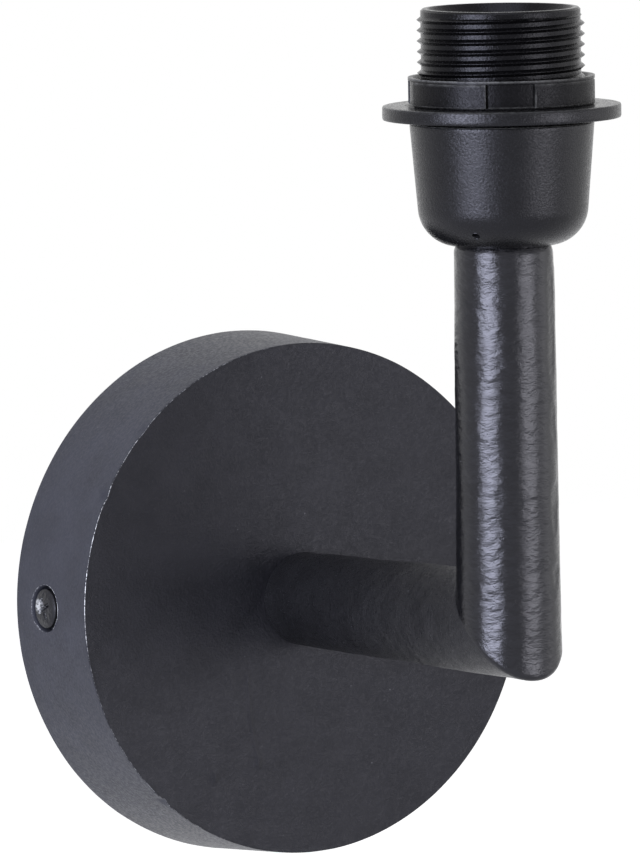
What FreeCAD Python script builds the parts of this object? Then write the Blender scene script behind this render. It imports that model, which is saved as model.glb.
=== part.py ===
import FreeCAD, Part
import math
import os
import re

import Sketcher

# A wall light bracket: a round canopy on a wall bracket, a mitred arm and upright, and on top a
# screw-skirt lampholder with its shade ring.  Millimetres.  The wall is the plane y = 0 and the front
# faces -Y, +Z is up, and the origin is the centre of the canopy's back, on the wall.

doc = FreeCAD.newDocument("WallLight")

# ---------------------------------------------------------------- driving dimensions
DIMENSIONS = [
    # canopy: a cup with a little draft, open at the wall
    ("canopy_back_radius", 62.5),
    ("canopy_draft", 1.3),
    ("canopy_depth", 29.4),
    ("canopy_wall", 1.5),
    ("canopy_edge_round", 0.3),
    # side fixing: a recess pressed into the rim at each side, with a screw, a nut and the bracket's ear
    ("side_screw_depth", 12.0),
    ("recess_depth", 3.6),
    ("recess_wall", 1.2),
    ("side_screw_radius", 2.5),
    ("side_screw_length", 15.0),
    ("side_screw_pitch", 0.8),
    ("side_head_radius", 4.5),
    ("side_head_clearance", 1.1),
    ("side_head_height", 2.7),
    ("side_head_shoulder", 1.7),
    ("side_cross_length", 4.9),
    ("side_cross_width", 0.9),
    ("side_cross_depth", 1.5),
    ("side_nut_width", 8.0),
    ("side_nut_thickness", 4.0),
    # wall bracket: a strip with its two ends bent forward
    ("bracket_height", 22.0),
    ("bracket_thickness", 1.5),
    ("ear_height", 18.0),
    ("ear_depth", 21.0),
    ("ear_gap", 0.25),
    ("cable_hole_radius", 7.0),
    ("wall_slot_spacing", 60.0),
    ("wall_slot_length", 12.0),
    ("wall_slot_width", 5.2),
    ("earth_screw_inset", 12.4),
    ("earth_screw_radius", 2.0),
    ("earth_head_radius", 4.0),
    ("earth_head_height", 2.4),
    ("clamp_washer_width", 8.4),
    ("clamp_washer_thickness", 1.2),
    # arm and upright: tubes that swell towards the mitred elbow
    ("arm_reach", 122.2),
    ("upright_rise", 90.0),
    ("arm_root_radius", 11.3),
    ("elbow_radius", 12.5),
    ("upright_top_radius", 11.7),
    ("tube_wall", 1.5),
    ("plug_thickness", 8.0),
    # threaded tubes that the wires pass through
    ("nipple_radius", 5.0),
    ("nipple_bore_radius", 3.75),
    ("rear_nipple_stickout", 10.0),
    ("top_nipple_stickout", 7.0),
    ("toothed_washer_radius", 8.6),
    ("toothed_washer_thickness", 1.0),
    ("tooth_depth", 1.5),
    ("tooth_gap", 1.2),
    ("earth_tag_radius", 7.6),
    ("earth_tag_thickness", 0.8),
    ("earth_tag_reach", 18.0),
    ("earth_tag_width", 5.0),
    ("barrel_radius", 1.9),
    ("barrel_length", 5.0),
    ("lock_nut_flats", 14.0),
    ("lock_nut_thickness", 3.0),
    ("bush_flange_radius", 6.2),
    ("bush_flange_thickness", 1.5),
    ("bush_bore_radius", 2.9),
    ("bush_sleeve_length", 4.0),
    # terminal block on the inside of the canopy
    ("block_drop", 36.0),
    ("block_skin", 0.8),
    ("block_depth", 14.0),
    ("block_height", 16.0),
    ("pole_spacing", 9.0),
    ("sleeve_radius", 2.2),
    ("sleeve_bore_radius", 1.5),
    ("sleeve_length", 14.0),
    ("clamp_screw_radius", 1.25),
    ("clamp_screw_spacing", 7.0),
    ("clamp_screw_bite", 0.6),
    ("clamp_well_radius", 2.0),
    ("stud_radius", 1.5),
    ("stud_nut_flats", 5.5),
    ("stud_nut_thickness", 2.4),
    # wires
    ("wire_radius", 1.05),
    ("wire_offset", 1.3),
    ("wire_elbow_radius", 9.0),
    ("wire_bend_radius", 6.0),
    ("wire_loop_depth", 7.0),
    ("wire_loop_drop", 12.0),
    ("wire_grip", 3.0),
    # lampholder dome
    ("dome_height", 29.3),
    ("dome_rim_wall", 2.5),
    ("dome_draft", 2.4),
    ("dome_foot_round", 9.3),
    ("dome_floor", 2.2),
    ("dome_seat_width", 0.8),
    ("dome_step", 16.0),
    ("dome_vent_radius", 0.85),
    ("dome_vent_place", 12.0),
    ("insert_flats", 16.0),
    ("insert_height", 7.0),
    ("lock_screw_radius", 1.5),
    ("lock_screw_length", 3.4),
    # contact block inside the lampholder
    ("contact_flange_thickness", 1.9),
    ("contact_body_height", 10.0),
    ("terminal_place", 9.0),
    ("terminal_hole_radius", 1.4),
    ("terminal_screw_radius", 1.3),
    ("terminal_head_radius", 2.3),
    ("terminal_head_height", 1.5),
    ("tongue_width", 5.0),
    ("tongue_thickness", 0.5),
    ("tongue_rise", 4.2),
    ("tongue_foot_to_tip", 8.0),
    ("tongue_hook", 2.0),
    ("side_contact_lip", 1.25),
    # skirt with its outer thread and the lamp's socket
    ("skirt_wall", 2.05),
    ("skirt_pocket", 1.95),
    ("skirt_shoulder", 0.55),
    ("skirt_height", 26.4),
    ("thread_depth", 0.9),
    ("skirt_lip_height", 1.6),
    ("skirt_bevel", 0.5),
    ("skirt_pitch", 2.5),
    ("socket_radius", 13.4),
    ("socket_wall", 1.8),
    ("throat_step", 1.4),
    ("socket_length", 20.0),
    ("socket_floor", 4.7),
    ("socket_roof", 2.7),
    ("mouth_wall", 1.65),
    # shade ring
    ("ring_flange_width", 8.35),
    ("ring_flange_thickness", 3.3),
    ("ring_collar_wall", 2.5),
    ("ring_collar_height", 6.7),
    # clearances
    ("thread_clearance", 0.05),
    ("hole_clearance", 0.25),
    ("joint_gap", 0.3),
    ("face_gap", 0.05),
]

sheet = doc.addObject("Spreadsheet::Sheet", "Dims")
for row, (alias, value) in enumerate(DIMENSIONS, start=1):
    sheet.set("A%d" % row, alias)
    sheet.set("B%d" % row, str(value))
    sheet.setAlias("B%d" % row, alias)
doc.recompute()

# Places that several sub-parts share, written in the sheet's words.
RECESS_FLOOR = "(canopy_back_radius - recess_depth)"
RECESS_RADIUS = "(side_head_radius + side_head_clearance)"
EAR_FACE = "(canopy_back_radius - recess_depth - recess_wall - ear_gap)"
EARTH_PLACE = "(%s - earth_screw_inset)" % EAR_FACE
ELBOW_TAPER = "((elbow_radius - arm_root_radius) / (arm_reach - canopy_depth))"
UPRIGHT_TAPER = "((elbow_radius - upright_top_radius) / upright_rise)"
ELBOW_OVERRUN = "(elbow_radius * 1.3)"
CANOPY_INSIDE = "(canopy_depth - canopy_wall)"
PORT_DEPTH = "(canopy_depth - canopy_wall - block_depth / 2)"
NUT_POCKET = "(stud_nut_flats / sqrt(3) + hole_clearance)"
STUD_PLACE = "(pole_spacing + sleeve_radius + %s + joint_gap)" % NUT_POCKET
BLOCK_WIDTH = "(2 * (%s + %s + block_skin))" % (STUD_PLACE, NUT_POCKET)
SKIRT_CHAMBER = "(socket_radius + socket_wall + skirt_pocket)"
SKIRT_SLEEVE = "(%s + skirt_wall)" % SKIRT_CHAMBER
SKIRT_CREST = "(%s + skirt_shoulder)" % SKIRT_SLEEVE
SKIRT_LIP = "(%s - thread_depth)" % SKIRT_CREST
SOCKET_THROAT = "(socket_radius - throat_step)"
CONTACT_BODY = "(%s - hole_clearance)" % SKIRT_CHAMBER
CONTACT_FLANGE = "(%s - joint_gap * 2)" % SKIRT_SLEEVE
DOME_BORE = "(%s + thread_clearance)" % SKIRT_SLEEVE
DOME_RIM = "(%s + dome_rim_wall)" % DOME_BORE
DOME_FOOT = "(%s - dome_draft)" % DOME_RIM
SKIRT_FOOT = "(upright_rise + dome_step + contact_flange_thickness + face_gap * 2)"
SKIRT_SHOULDER = "(upright_rise + dome_height + joint_gap)"
SKIRT_TOP = "(upright_rise + dome_height + joint_gap + skirt_height)"
CONTACT_FOOT = "(upright_rise + dome_step)"
CONTACT_TOP = "(upright_rise + dome_step + contact_body_height)"
RING_FOOT = "(upright_rise + dome_height + joint_gap * 2)"
RING_STEP = "(upright_rise + dome_height + joint_gap * 2 + ring_flange_thickness)"
RING_BORE = "(%s + thread_clearance)" % SKIRT_CREST

# The local +Z of a turned piece, along a row axis.
TURN = {
    "+Z": FreeCAD.Rotation(),
    "+Y": FreeCAD.Rotation(FreeCAD.Vector(1, 0, 0), -90),
    "-Y": FreeCAD.Rotation(FreeCAD.Vector(1, 0, 0), 90),
    "+X": FreeCAD.Rotation(FreeCAD.Vector(0, 1, 0), 90),
    "-X": FreeCAD.Rotation(FreeCAD.Vector(0, 1, 0), -90),
}
SIDES = (("left", -1, "-X"), ("right", 1, "+X"))
WASHER_TEETH = 12
# The vent's way out of the dome: sideways, forwards and down.
VENT_WAY = (-0.8, -0.6, -1.0)

nodes = []


# ---------------------------------------------------------------- helpers
def in_sheet(text):
    """The expression with each of the sheet's words given its full name."""
    return re.sub(r"\b([a-z][a-z0-9_]*)\b(?!\()", r"Dims.\1", text)


def size(text):
    """The value of an expression of the sheet's words, in millimetres."""
    return float(sheet.evalExpression(in_sheet(text)))


def bind(obj, **properties):
    """Tie the object's properties to the sheet."""
    for name, text in properties.items():
        obj.setExpression(name, in_sheet(text))


def place(obj, at, along="+Z"):
    """Put the object's own origin at a point, with its own +Z along a row axis."""
    obj.Placement = FreeCAD.Placement(FreeCAD.Vector(*[size(text) for text in at]), TURN[along])
    for letter, text in zip("xyz", at):
        obj.setExpression("Placement.Base." + letter, in_sheet(text))


def keep(obj, label):
    """Make the object one of the part's nodes."""
    obj.Label = label
    nodes.append(obj)
    return obj


def cylinder(radius, height, at, along="+Z"):
    obj = doc.addObject("Part::Cylinder", "Cylinder")
    bind(obj, Radius=radius, Height=height)
    place(obj, at, along)
    return obj


def cone(first_radius, last_radius, height, at, along="+Z"):
    obj = doc.addObject("Part::Cone", "Cone")
    bind(obj, Radius1=first_radius, Radius2=last_radius, Height=height)
    place(obj, at, along)
    return obj


def block(length, width, height, at, along="+Z"):
    """A box whose corner is at the point."""
    obj = doc.addObject("Part::Box", "Box")
    bind(obj, Length=length, Width=width, Height=height)
    place(obj, at, along)
    return obj


def prism(flats, height, at, along="+Z"):
    """A hexagon across its flats."""
    obj = doc.addObject("Part::Prism", "Prism")
    obj.Polygon = 6
    bind(obj, Circumradius="(%s) / sqrt(3)" % flats, Height=height)
    place(obj, at, along)
    return obj


def cut(base, *tools):
    for tool in tools:
        result = doc.addObject("Part::Cut", "Cut")
        result.Base = base
        result.Tool = tool
        base = result
    return base


def fuse(base, *tools):
    for tool in tools:
        result = doc.addObject("Part::Fuse", "Fuse")
        result.Base = base
        result.Tool = tool
        base = result
    return base


def common(base, tool):
    result = doc.addObject("Part::Common", "Common")
    result.Base = base
    result.Tool = tool
    return result


def group(*pieces):
    """Separate solids that share one node."""
    result = doc.addObject("Part::Compound", "Group")
    result.Links = list(pieces)
    return result


def origin_plane(body, role):
    return next(feature for feature in body.Origin.OriginFeatures if feature.Role == role)


def closed_sketch(body, role, outline):
    """A closed outline of straight lines, each corner tied to the sheet from the origin."""
    sketch = body.newObject("Sketcher::SketchObject", "Outline")
    sketch.AttachmentSupport = [(origin_plane(body, role), "")]
    sketch.MapMode = "FlatFace"
    corners = [FreeCAD.Vector(size(across), size(up), 0) for across, up in outline]
    count = len(corners)
    for index in range(count):
        sketch.addGeometry(Part.LineSegment(corners[index], corners[(index + 1) % count]), False)
    for index in range(count):
        sketch.addConstraint(Sketcher.Constraint("Coincident", index, 2, (index + 1) % count, 1))
    for index, texts in enumerate(outline):
        for kind, text, axis in zip(("DistanceX", "DistanceY"), texts, (-2, -1)):
            if text == "0":
                sketch.addConstraint(Sketcher.Constraint("PointOnObject", index, 1, axis))
            else:
                number = sketch.addConstraint(Sketcher.Constraint(kind, -1, 1, index, 1, size(text)))
                sketch.setExpression("Constraints[%d]" % number, in_sheet(text))
    return sketch


def turned(name, outline, at, along="+Z"):
    """A body turned about its own Z axis from an outline of (radius, height) corners."""
    body = doc.addObject("PartDesign::Body", name)
    sketch = closed_sketch(body, "XZ_Plane", outline)
    turning = body.newObject("PartDesign::Revolution", "Turning")
    turning.Profile = sketch
    turning.ReferenceAxis = (sketch, ["V_Axis"])
    turning.Angle = 360
    sketch.Visibility = False
    place(body, at, along)
    return body


def ring(name, bore, radius, height, at, along="+Z"):
    return turned(name, [(bore, "0"), (radius, "0"), (radius, height), (bore, height)], at, along)


def padded(name, outline, width, at, along="+Z"):
    """A body pushed both ways from an outline of (y, z) corners: bent strip, width along X."""
    body = doc.addObject("PartDesign::Body", name)
    sketch = closed_sketch(body, "YZ_Plane", outline)
    pad = body.newObject("PartDesign::Pad", "Width")
    pad.Profile = sketch
    pad.SideType = "Symmetric"
    bind(pad, Length=width)
    sketch.Visibility = False
    place(body, at, along)
    return body


def rounded_edge(body, edge_radius, radius):
    """Round the circular edge of that radius on the body, by a size of the sheet."""
    doc.recompute()
    base = body.Tip
    wanted = size(edge_radius)
    picked = []
    for number, edge in enumerate(base.Shape.Edges, start=1):
        if hasattr(edge.Curve, "Radius") and abs(edge.Curve.Radius - wanted) < 0.01:
            picked.append("Edge%d" % number)
    fillet = body.newObject("PartDesign::Fillet", "Round")
    fillet.Base = (base, picked)
    bind(fillet, Radius=radius)
    return body


def wire_path(points):
    """Straight runs joined by tangent arcs, through (point, bend radius) corners."""
    places = [FreeCAD.Vector(*[size(text) for text in at]) for at, _ in points]
    edges = []
    start = places[0]
    for index in range(1, len(places) - 1):
        corner = places[index]
        back = (places[index - 1] - corner).normalize()
        ahead = (places[index + 1] - corner).normalize()
        half_turn = (math.pi - back.getAngle(ahead)) / 2
        radius = size(points[index][1])
        tangent = radius * math.tan(half_turn)
        inward = (back + ahead).normalize()
        first = corner + back * tangent
        last = corner + ahead * tangent
        centre = corner + inward * (radius / math.cos(half_turn))
        middle = centre - inward * radius
        edges.append(Part.LineSegment(start, first).toShape())
        edges.append(Part.Arc(first, middle, last).toShape())
        start = last
    edges.append(Part.LineSegment(start, places[-1]).toShape())
    return Part.Wire(edges)


def wire(label, points):
    """An insulated wire along its route."""
    path = wire_path(points)
    start = path.Edges[0].firstVertex().Point
    heading = path.Edges[0].tangentAt(path.Edges[0].FirstParameter)
    radius = size("wire_radius")
    section = Part.Wire([Part.makeCircle(radius, start, heading)])
    obj = doc.addObject("Part::Feature", label)
    obj.Shape = path.makePipeShell([section], True, False)
    obj.Placement = FreeCAD.Placement()
    straight_volume = math.pi * radius ** 2 * path.Length
    print(label, "length %.1f mm" % path.Length, "volume ratio %.5f" % (obj.Shape.Volume / straight_volume))
    return keep(obj, label)


# ---------------------------------------------------------------- wall bracket
def wall_bracket():
    """A strip flat on the wall, its ends bent forward into ears with notches open to the front."""
    strip = block("2 * " + EAR_FACE, "bracket_thickness", "bracket_height",
                  ("-" + EAR_FACE, "-bracket_thickness", "-bracket_height / 2"))
    pieces = []
    for _, side, _ in SIDES:
        inner = EAR_FACE if side < 0 else "(%s - bracket_thickness)" % EAR_FACE
        pieces.append(block("bracket_thickness", "ear_depth", "ear_height",
                            ("%d * %s" % (side, inner), "-ear_depth", "-ear_height / 2")))
    bent = fuse(strip, *pieces)
    through = "bracket_thickness * 3"
    notch = "(side_screw_radius + hole_clearance)"
    slot_run = "(wall_slot_length - wall_slot_width)"
    holes = []
    for _, side, _ in SIDES:
        start = "-%s - bracket_thickness" % EAR_FACE
        if side > 0:
            start = "%s - bracket_thickness * 2" % EAR_FACE
        holes.append(block(through, "ear_depth - side_screw_depth + bracket_thickness", "2 * " + notch,
                           (start, "-ear_depth - bracket_thickness", "-" + notch)))
        holes.append(cylinder(notch, through, (start, "-side_screw_depth", "0"), "+X"))
        slot_middle = "%d * wall_slot_spacing / 2" % side
        for end in (-1, 1):
            slot_end = "%s + %d * %s / 2" % (slot_middle, end, slot_run)
            holes.append(cylinder("wall_slot_width / 2", through,
                                  (slot_end, "bracket_thickness", "0"), "-Y"))
        holes.append(block(slot_run, through, "wall_slot_width",
                           ("%s - %s / 2" % (slot_middle, slot_run), "-bracket_thickness * 2",
                            "-wall_slot_width / 2")))
    holes.append(cylinder("cable_hole_radius", through, ("0", "bracket_thickness", "0"), "-Y"))
    holes.append(cylinder("earth_screw_radius + thread_clearance", through,
                          ("-" + EARTH_PLACE, "bracket_thickness", "0"), "-Y"))
    keep(cut(bent, *holes), "wall_bracket")


def earth_fixing():
    """The bracket's earth screw and its square clamp washer."""
    seat = "bracket_thickness + clamp_washer_thickness"
    screw = turned("EarthScrew", [
        ("0", "0"),
        ("earth_screw_radius", "0"),
        ("earth_screw_radius", seat),
        ("earth_head_radius", seat),
        ("earth_head_radius", seat + " + earth_head_height"),
        ("0", seat + " + earth_head_height"),
    ], ("-" + EARTH_PLACE, "0", "0"), "-Y")
    slot = block("earth_head_radius * 3", "earth_head_height", "earth_head_radius / 4",
                 ("-%s - earth_head_radius * 1.5" % EARTH_PLACE,
                  "-(%s + earth_head_height * 1.5)" % seat, "-earth_head_radius / 8"))
    keep(cut(screw, slot), "earth_screw")
    plate = block("clamp_washer_width", "clamp_washer_thickness", "clamp_washer_width",
                  ("-%s - clamp_washer_width / 2" % EARTH_PLACE,
                   "-bracket_thickness - clamp_washer_thickness", "-clamp_washer_width / 2"))
    hole = cylinder("earth_screw_radius + hole_clearance", "clamp_washer_thickness * 3",
                    ("-" + EARTH_PLACE, "0", "0"), "-Y")
    keep(cut(plate, hole), "earth_clamp_washer")


# ---------------------------------------------------------------- canopy and side fixing
def canopy():
    """A cup with draft and a rounded front edge, a recess pressed into its rim at each side."""
    back, front, wall = "canopy_back_radius", "(canopy_back_radius - canopy_draft)", "canopy_wall"
    slope = "(canopy_draft / canopy_depth)"
    cup = turned("CanopyCup", [
        (back, "0"),
        (front, "canopy_depth"),
        ("nipple_radius + hole_clearance", "canopy_depth"),
        ("nipple_radius + hole_clearance", CANOPY_INSIDE),
        ("%s - %s + %s * %s" % (front, wall, slope, wall), CANOPY_INSIDE),
        ("%s - %s" % (back, wall), "0"),
    ], ("0", "0", "0"), "-Y")
    rounded_edge(cup, front, "canopy_edge_round")
    outside = cone(back, front, "canopy_depth", ("0", "0", "0"), "-Y")
    body = cup
    cuts = []
    for _, side, along in SIDES:
        floor = "%d * %s" % (side, RECESS_FLOOR)
        inner = "%d * (%s - recess_wall)" % (side, RECESS_FLOOR)
        behind = "%d * (%s - recess_wall * 2)" % (side, RECESS_FLOOR)
        boss = cylinder(RECESS_RADIUS + " + recess_wall", "recess_depth + recess_wall",
                        (inner, "-side_screw_depth", "0"), along)
        body = fuse(body, common(boss, outside))
        cuts.append(cylinder(RECESS_RADIUS, "recess_depth * 2", (floor, "-side_screw_depth", "0"), along))
        cuts.append(cylinder("side_screw_radius + hole_clearance", "recess_depth * 2",
                             (behind, "-side_screw_depth", "0"), along))
    keep(cut(body, *cuts), "canopy")


def side_screw(name, side, along):
    """A pan-head screw with a cross recess: its head in the canopy's recess, its tip through the ear."""
    tip = "%d * (%s - side_screw_length)" % (side, RECESS_FLOOR)
    seat = "side_screw_length"
    dome = "(side_head_height - side_head_shoulder)"
    screw = turned("SideScrew", [
        ("0", "0"),
        ("side_screw_radius - side_screw_pitch / 2", "0"),
        ("side_screw_radius", "side_screw_pitch / 2"),
        ("side_screw_radius", seat),
        ("side_head_radius", seat),
        ("side_head_radius", seat + " + side_head_shoulder"),
        ("side_head_radius * 7 / 8", "%s + side_head_shoulder + %s * 2 / 3" % (seat, dome)),
        ("side_head_radius / 2", "%s + side_head_height - %s / 8" % (seat, dome)),
        ("0", seat + " + side_head_height"),
    ], (tip, "-side_screw_depth", "0"), along)
    sunk = "(%s + side_head_height - side_cross_depth)" % RECESS_FLOOR
    start = sunk if side > 0 else "-%s - side_head_height" % sunk
    arms = []
    cross = ("side_cross_length", "side_cross_width")
    for width, height in (cross, cross[::-1]):
        arms.append(block("side_head_height", width, height,
                          (start, "-side_screw_depth - %s / 2" % width, "-%s / 2" % height)))
    keep(cut(screw, *arms), "side_screw_" + name)


def side_nut(name, side, along):
    """A square nut behind the bracket's ear, on the side screw."""
    ear_back = "(%s - bracket_thickness - face_gap * 2)" % EAR_FACE
    start = "-%s" % ear_back if side < 0 else "%s - side_nut_thickness" % ear_back
    nut = block("side_nut_thickness", "side_nut_width", "side_nut_width",
                (start, "-side_screw_depth - side_nut_width / 2", "-side_nut_width / 2"))
    thread = cylinder("side_screw_radius + thread_clearance", "side_nut_thickness * 3",
                      ("%s - side_nut_thickness" % start, "-side_screw_depth", "0"), "+X")
    keep(cut(nut, thread), "side_nut_" + name)


# ---------------------------------------------------------------- arm and upright
def mitre_block(arm_side):
    """The half space on one side of the elbow's mitre, as a block."""
    width = "(elbow_radius * 6)"
    across = "(%s / 2 / sqrt(2))" % width
    obj = doc.addObject("Part::Box", "Mitre")
    bind(obj, Length=width, Width=width, Height=width)
    if arm_side:
        at = ("-%s / 2" % width, "-arm_reach - %s" % across, "-%s" % across)
    else:
        at = ("-%s / 2" % width, "-arm_reach + %s" % across, "-3 * %s" % across)
    place(obj, at)
    obj.Placement = FreeCAD.Placement(obj.Placement.Base, FreeCAD.Rotation(FreeCAD.Vector(1, 0, 0), 45))
    return obj


def arm_tube():
    """The arm, from the canopy's face to the mitre."""
    length = "(arm_reach - canopy_depth + %s)" % ELBOW_OVERRUN
    tip = "arm_root_radius + %s * %s" % (ELBOW_TAPER, length)
    root = ("0", "-canopy_depth", "0")
    outside = cone("arm_root_radius", tip, length, root, "-Y")
    inside = cone("arm_root_radius - tube_wall", "%s - tube_wall" % tip, length, root, "-Y")
    keep(cut(outside, inside, mitre_block(True)), "arm_tube")


def upright_tube():
    """The upright, from the mitre to the lampholder."""
    length = "(upright_rise + %s)" % ELBOW_OVERRUN
    foot = "elbow_radius + %s * %s" % (UPRIGHT_TAPER, ELBOW_OVERRUN)
    low = ("0", "-arm_reach", "-" + ELBOW_OVERRUN)
    outside = cone(foot, "upright_top_radius", length, low)
    inside = cone("%s - tube_wall" % foot, "upright_top_radius - tube_wall", length, low)
    keep(cut(outside, inside, mitre_block(False)), "upright_tube")


def end_plugs():
    """Turned plugs welded into the arm's root and the upright's top, threaded for the nipples."""
    bore = "nipple_radius + thread_clearance"
    arm_fit = "arm_root_radius - tube_wall"
    top_fit = "upright_top_radius - tube_wall"
    keep(turned("ArmPlug", [
        (bore, "0"),
        (arm_fit, "0"),
        ("%s + %s * plug_thickness" % (arm_fit, ELBOW_TAPER), "plug_thickness"),
        (bore, "plug_thickness"),
    ], ("0", "-canopy_depth", "0"), "-Y"), "arm_end_plug")
    keep(turned("TopPlug", [
        (bore, "0"),
        ("%s + %s * plug_thickness" % (top_fit, UPRIGHT_TAPER), "0"),
        (top_fit, "plug_thickness"),
        (bore, "plug_thickness"),
    ], ("0", "-arm_reach", "upright_rise - plug_thickness")), "upright_top_plug")


def nipples():
    """Threaded tubes: one holds the arm to the canopy, one the lampholder to the upright."""
    keep(ring("RearNipple", "nipple_bore_radius", "nipple_radius",
              "rear_nipple_stickout + canopy_wall + plug_thickness",
              ("0", "-(canopy_depth + plug_thickness)", "0"), "+Y"), "rear_nipple")
    keep(ring("TopNipple", "nipple_bore_radius", "nipple_radius", "top_nipple_stickout + plug_thickness",
              ("0", "-arm_reach", "upright_rise - plug_thickness")), "top_nipple")


def rear_fastening():
    """On the rear nipple, inside the canopy: toothed washer, earth tag, lock nut and end bush."""
    bore = "nipple_radius + hole_clearance"
    washer = ring("Washer", bore, "toothed_washer_radius", "toothed_washer_thickness",
                  ("0", "-" + CANOPY_INSIDE, "0"), "+Y")
    notches = []
    for number in range(WASHER_TEETH):
        notch = doc.addObject("Part::Box", "Notch")
        bind(notch, Length="tooth_depth * 2", Width="toothed_washer_thickness * 3", Height="tooth_gap")
        turn = FreeCAD.Rotation(FreeCAD.Vector(0, 1, 0), 360.0 / WASHER_TEETH * number)
        start = FreeCAD.Vector(size("toothed_washer_radius - tooth_depth"), 0, 0)
        behind = FreeCAD.Vector(0, -size(CANOPY_INSIDE + " + toothed_washer_thickness"), 0)
        notch.Placement = FreeCAD.Placement(turn.multVec(start) + behind, turn)
        notches.append(notch)
    keep(cut(washer, *notches), "rear_toothed_washer")

    tag_face = "(%s - toothed_washer_thickness)" % CANOPY_INSIDE
    eye = cylinder("earth_tag_radius", "earth_tag_thickness", ("0", "-" + tag_face, "0"), "+Y")
    tongue = block("earth_tag_reach", "earth_tag_thickness", "earth_tag_width",
                   ("0", "-" + tag_face, "-earth_tag_width / 2"))
    barrel = cylinder("barrel_radius", "barrel_length",
                      ("earth_tag_reach - barrel_length",
                       "-%s + earth_tag_thickness / 2 + barrel_radius" % tag_face, "0"), "+X")
    hole = cylinder(bore, "earth_tag_thickness * 3",
                    ("0", "-%s - earth_tag_thickness" % tag_face, "0"), "+Y")
    grip = cylinder("wire_radius + thread_clearance", "barrel_length * 3",
                    ("earth_tag_reach - barrel_length * 2",
                     "-%s + earth_tag_thickness / 2 + barrel_radius" % tag_face, "0"), "+X")
    keep(cut(fuse(eye, tongue, barrel), hole, grip), "earth_tag")

    nut_face = "(%s - earth_tag_thickness)" % tag_face
    nut = prism("lock_nut_flats", "lock_nut_thickness", ("0", "-" + nut_face, "0"), "+Y")
    thread = cylinder("nipple_radius + thread_clearance", "lock_nut_thickness * 3",
                      ("0", "-%s - lock_nut_thickness" % nut_face, "0"), "+Y")
    keep(cut(nut, thread), "rear_lock_nut")

    mouth = "(%s - rear_nipple_stickout)" % CANOPY_INSIDE
    keep(turned("Bush", [
        ("bush_bore_radius", "0"),
        ("nipple_bore_radius - thread_clearance", "0"),
        ("nipple_bore_radius - thread_clearance", "bush_sleeve_length"),
        ("bush_flange_radius", "bush_sleeve_length"),
        ("bush_flange_radius", "bush_sleeve_length + bush_flange_thickness"),
        ("bush_bore_radius", "bush_sleeve_length + bush_flange_thickness"),
    ], ("0", "-%s - bush_sleeve_length" % mouth, "0"), "+Y"), "nipple_bush")


# ---------------------------------------------------------------- terminal block
def terminal_block():
    """A three-pole terminal block on a stud inside the canopy: ports up and down, screws to the wall."""
    top = "-block_drop + block_height / 2"
    front = "-" + CANOPY_INSIDE
    body = block(BLOCK_WIDTH, "block_depth", "block_height",
                 ("-%s / 2" % BLOCK_WIDTH, front, "-block_drop - block_height / 2"))
    holes = []
    sleeves = []
    screws = []
    poles = ("-pole_spacing", "0", "pole_spacing")
    for pole in poles:
        holes.append(cylinder("sleeve_radius + thread_clearance", "block_height * 2",
                              (pole, "-" + PORT_DEPTH, "-block_drop - block_height")))
        sleeve = ring("Sleeve", "sleeve_bore_radius", "sleeve_radius", "sleeve_length",
                      (pole, "-" + PORT_DEPTH, "-block_drop - sleeve_length / 2"))
        seats = []
        for end in (-1, 1):
            at = (pole, "-%s + clamp_screw_bite" % PORT_DEPTH,
                  "-block_drop + %d * clamp_screw_spacing / 2" % end)
            holes.append(cylinder("clamp_well_radius", "block_depth", at, "+Y"))
            seats.append(cylinder("clamp_screw_radius + thread_clearance", "block_depth", at, "+Y"))
            shank = cylinder("clamp_screw_radius",
                             "block_depth / 2 - sleeve_bore_radius - clamp_screw_bite", at, "+Y")
            slot = block("clamp_screw_radius * 3", "clamp_screw_radius", "clamp_screw_radius / 3",
                         ("%s - clamp_screw_radius * 1.5" % pole,
                          "%s + block_depth - sleeve_bore_radius - clamp_screw_radius / 2" % front,
                          "%s - clamp_screw_radius / 6" % at[2]))
            screws.append(cut(shank, slot))
        sleeves.append(cut(sleeve, *seats))
    stud_at = (STUD_PLACE, front, "-block_drop")
    holes.append(cylinder("stud_radius + thread_clearance", "block_depth * 2", stud_at, "+Y"))
    holes.append(cylinder(NUT_POCKET, "block_depth",
                          (STUD_PLACE, "%s + block_depth / 2" % front, "-block_drop"), "+Y"))
    keep(cut(body, *holes), "terminal_block")
    keep(group(*sleeves), "terminal_sleeves")
    keep(group(*screws), "terminal_block_screws")
    keep(cylinder("stud_radius", "block_depth / 2 + stud_nut_thickness * 1.5", stud_at, "+Y"), "block_stud")
    nut = prism("stud_nut_flats", "stud_nut_thickness",
                (STUD_PLACE, "%s + block_depth / 2" % front, "-block_drop"), "+Y")
    thread = cylinder("stud_radius + thread_clearance", "block_depth", stud_at, "+Y")
    keep(cut(nut, thread), "block_nut")


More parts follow.
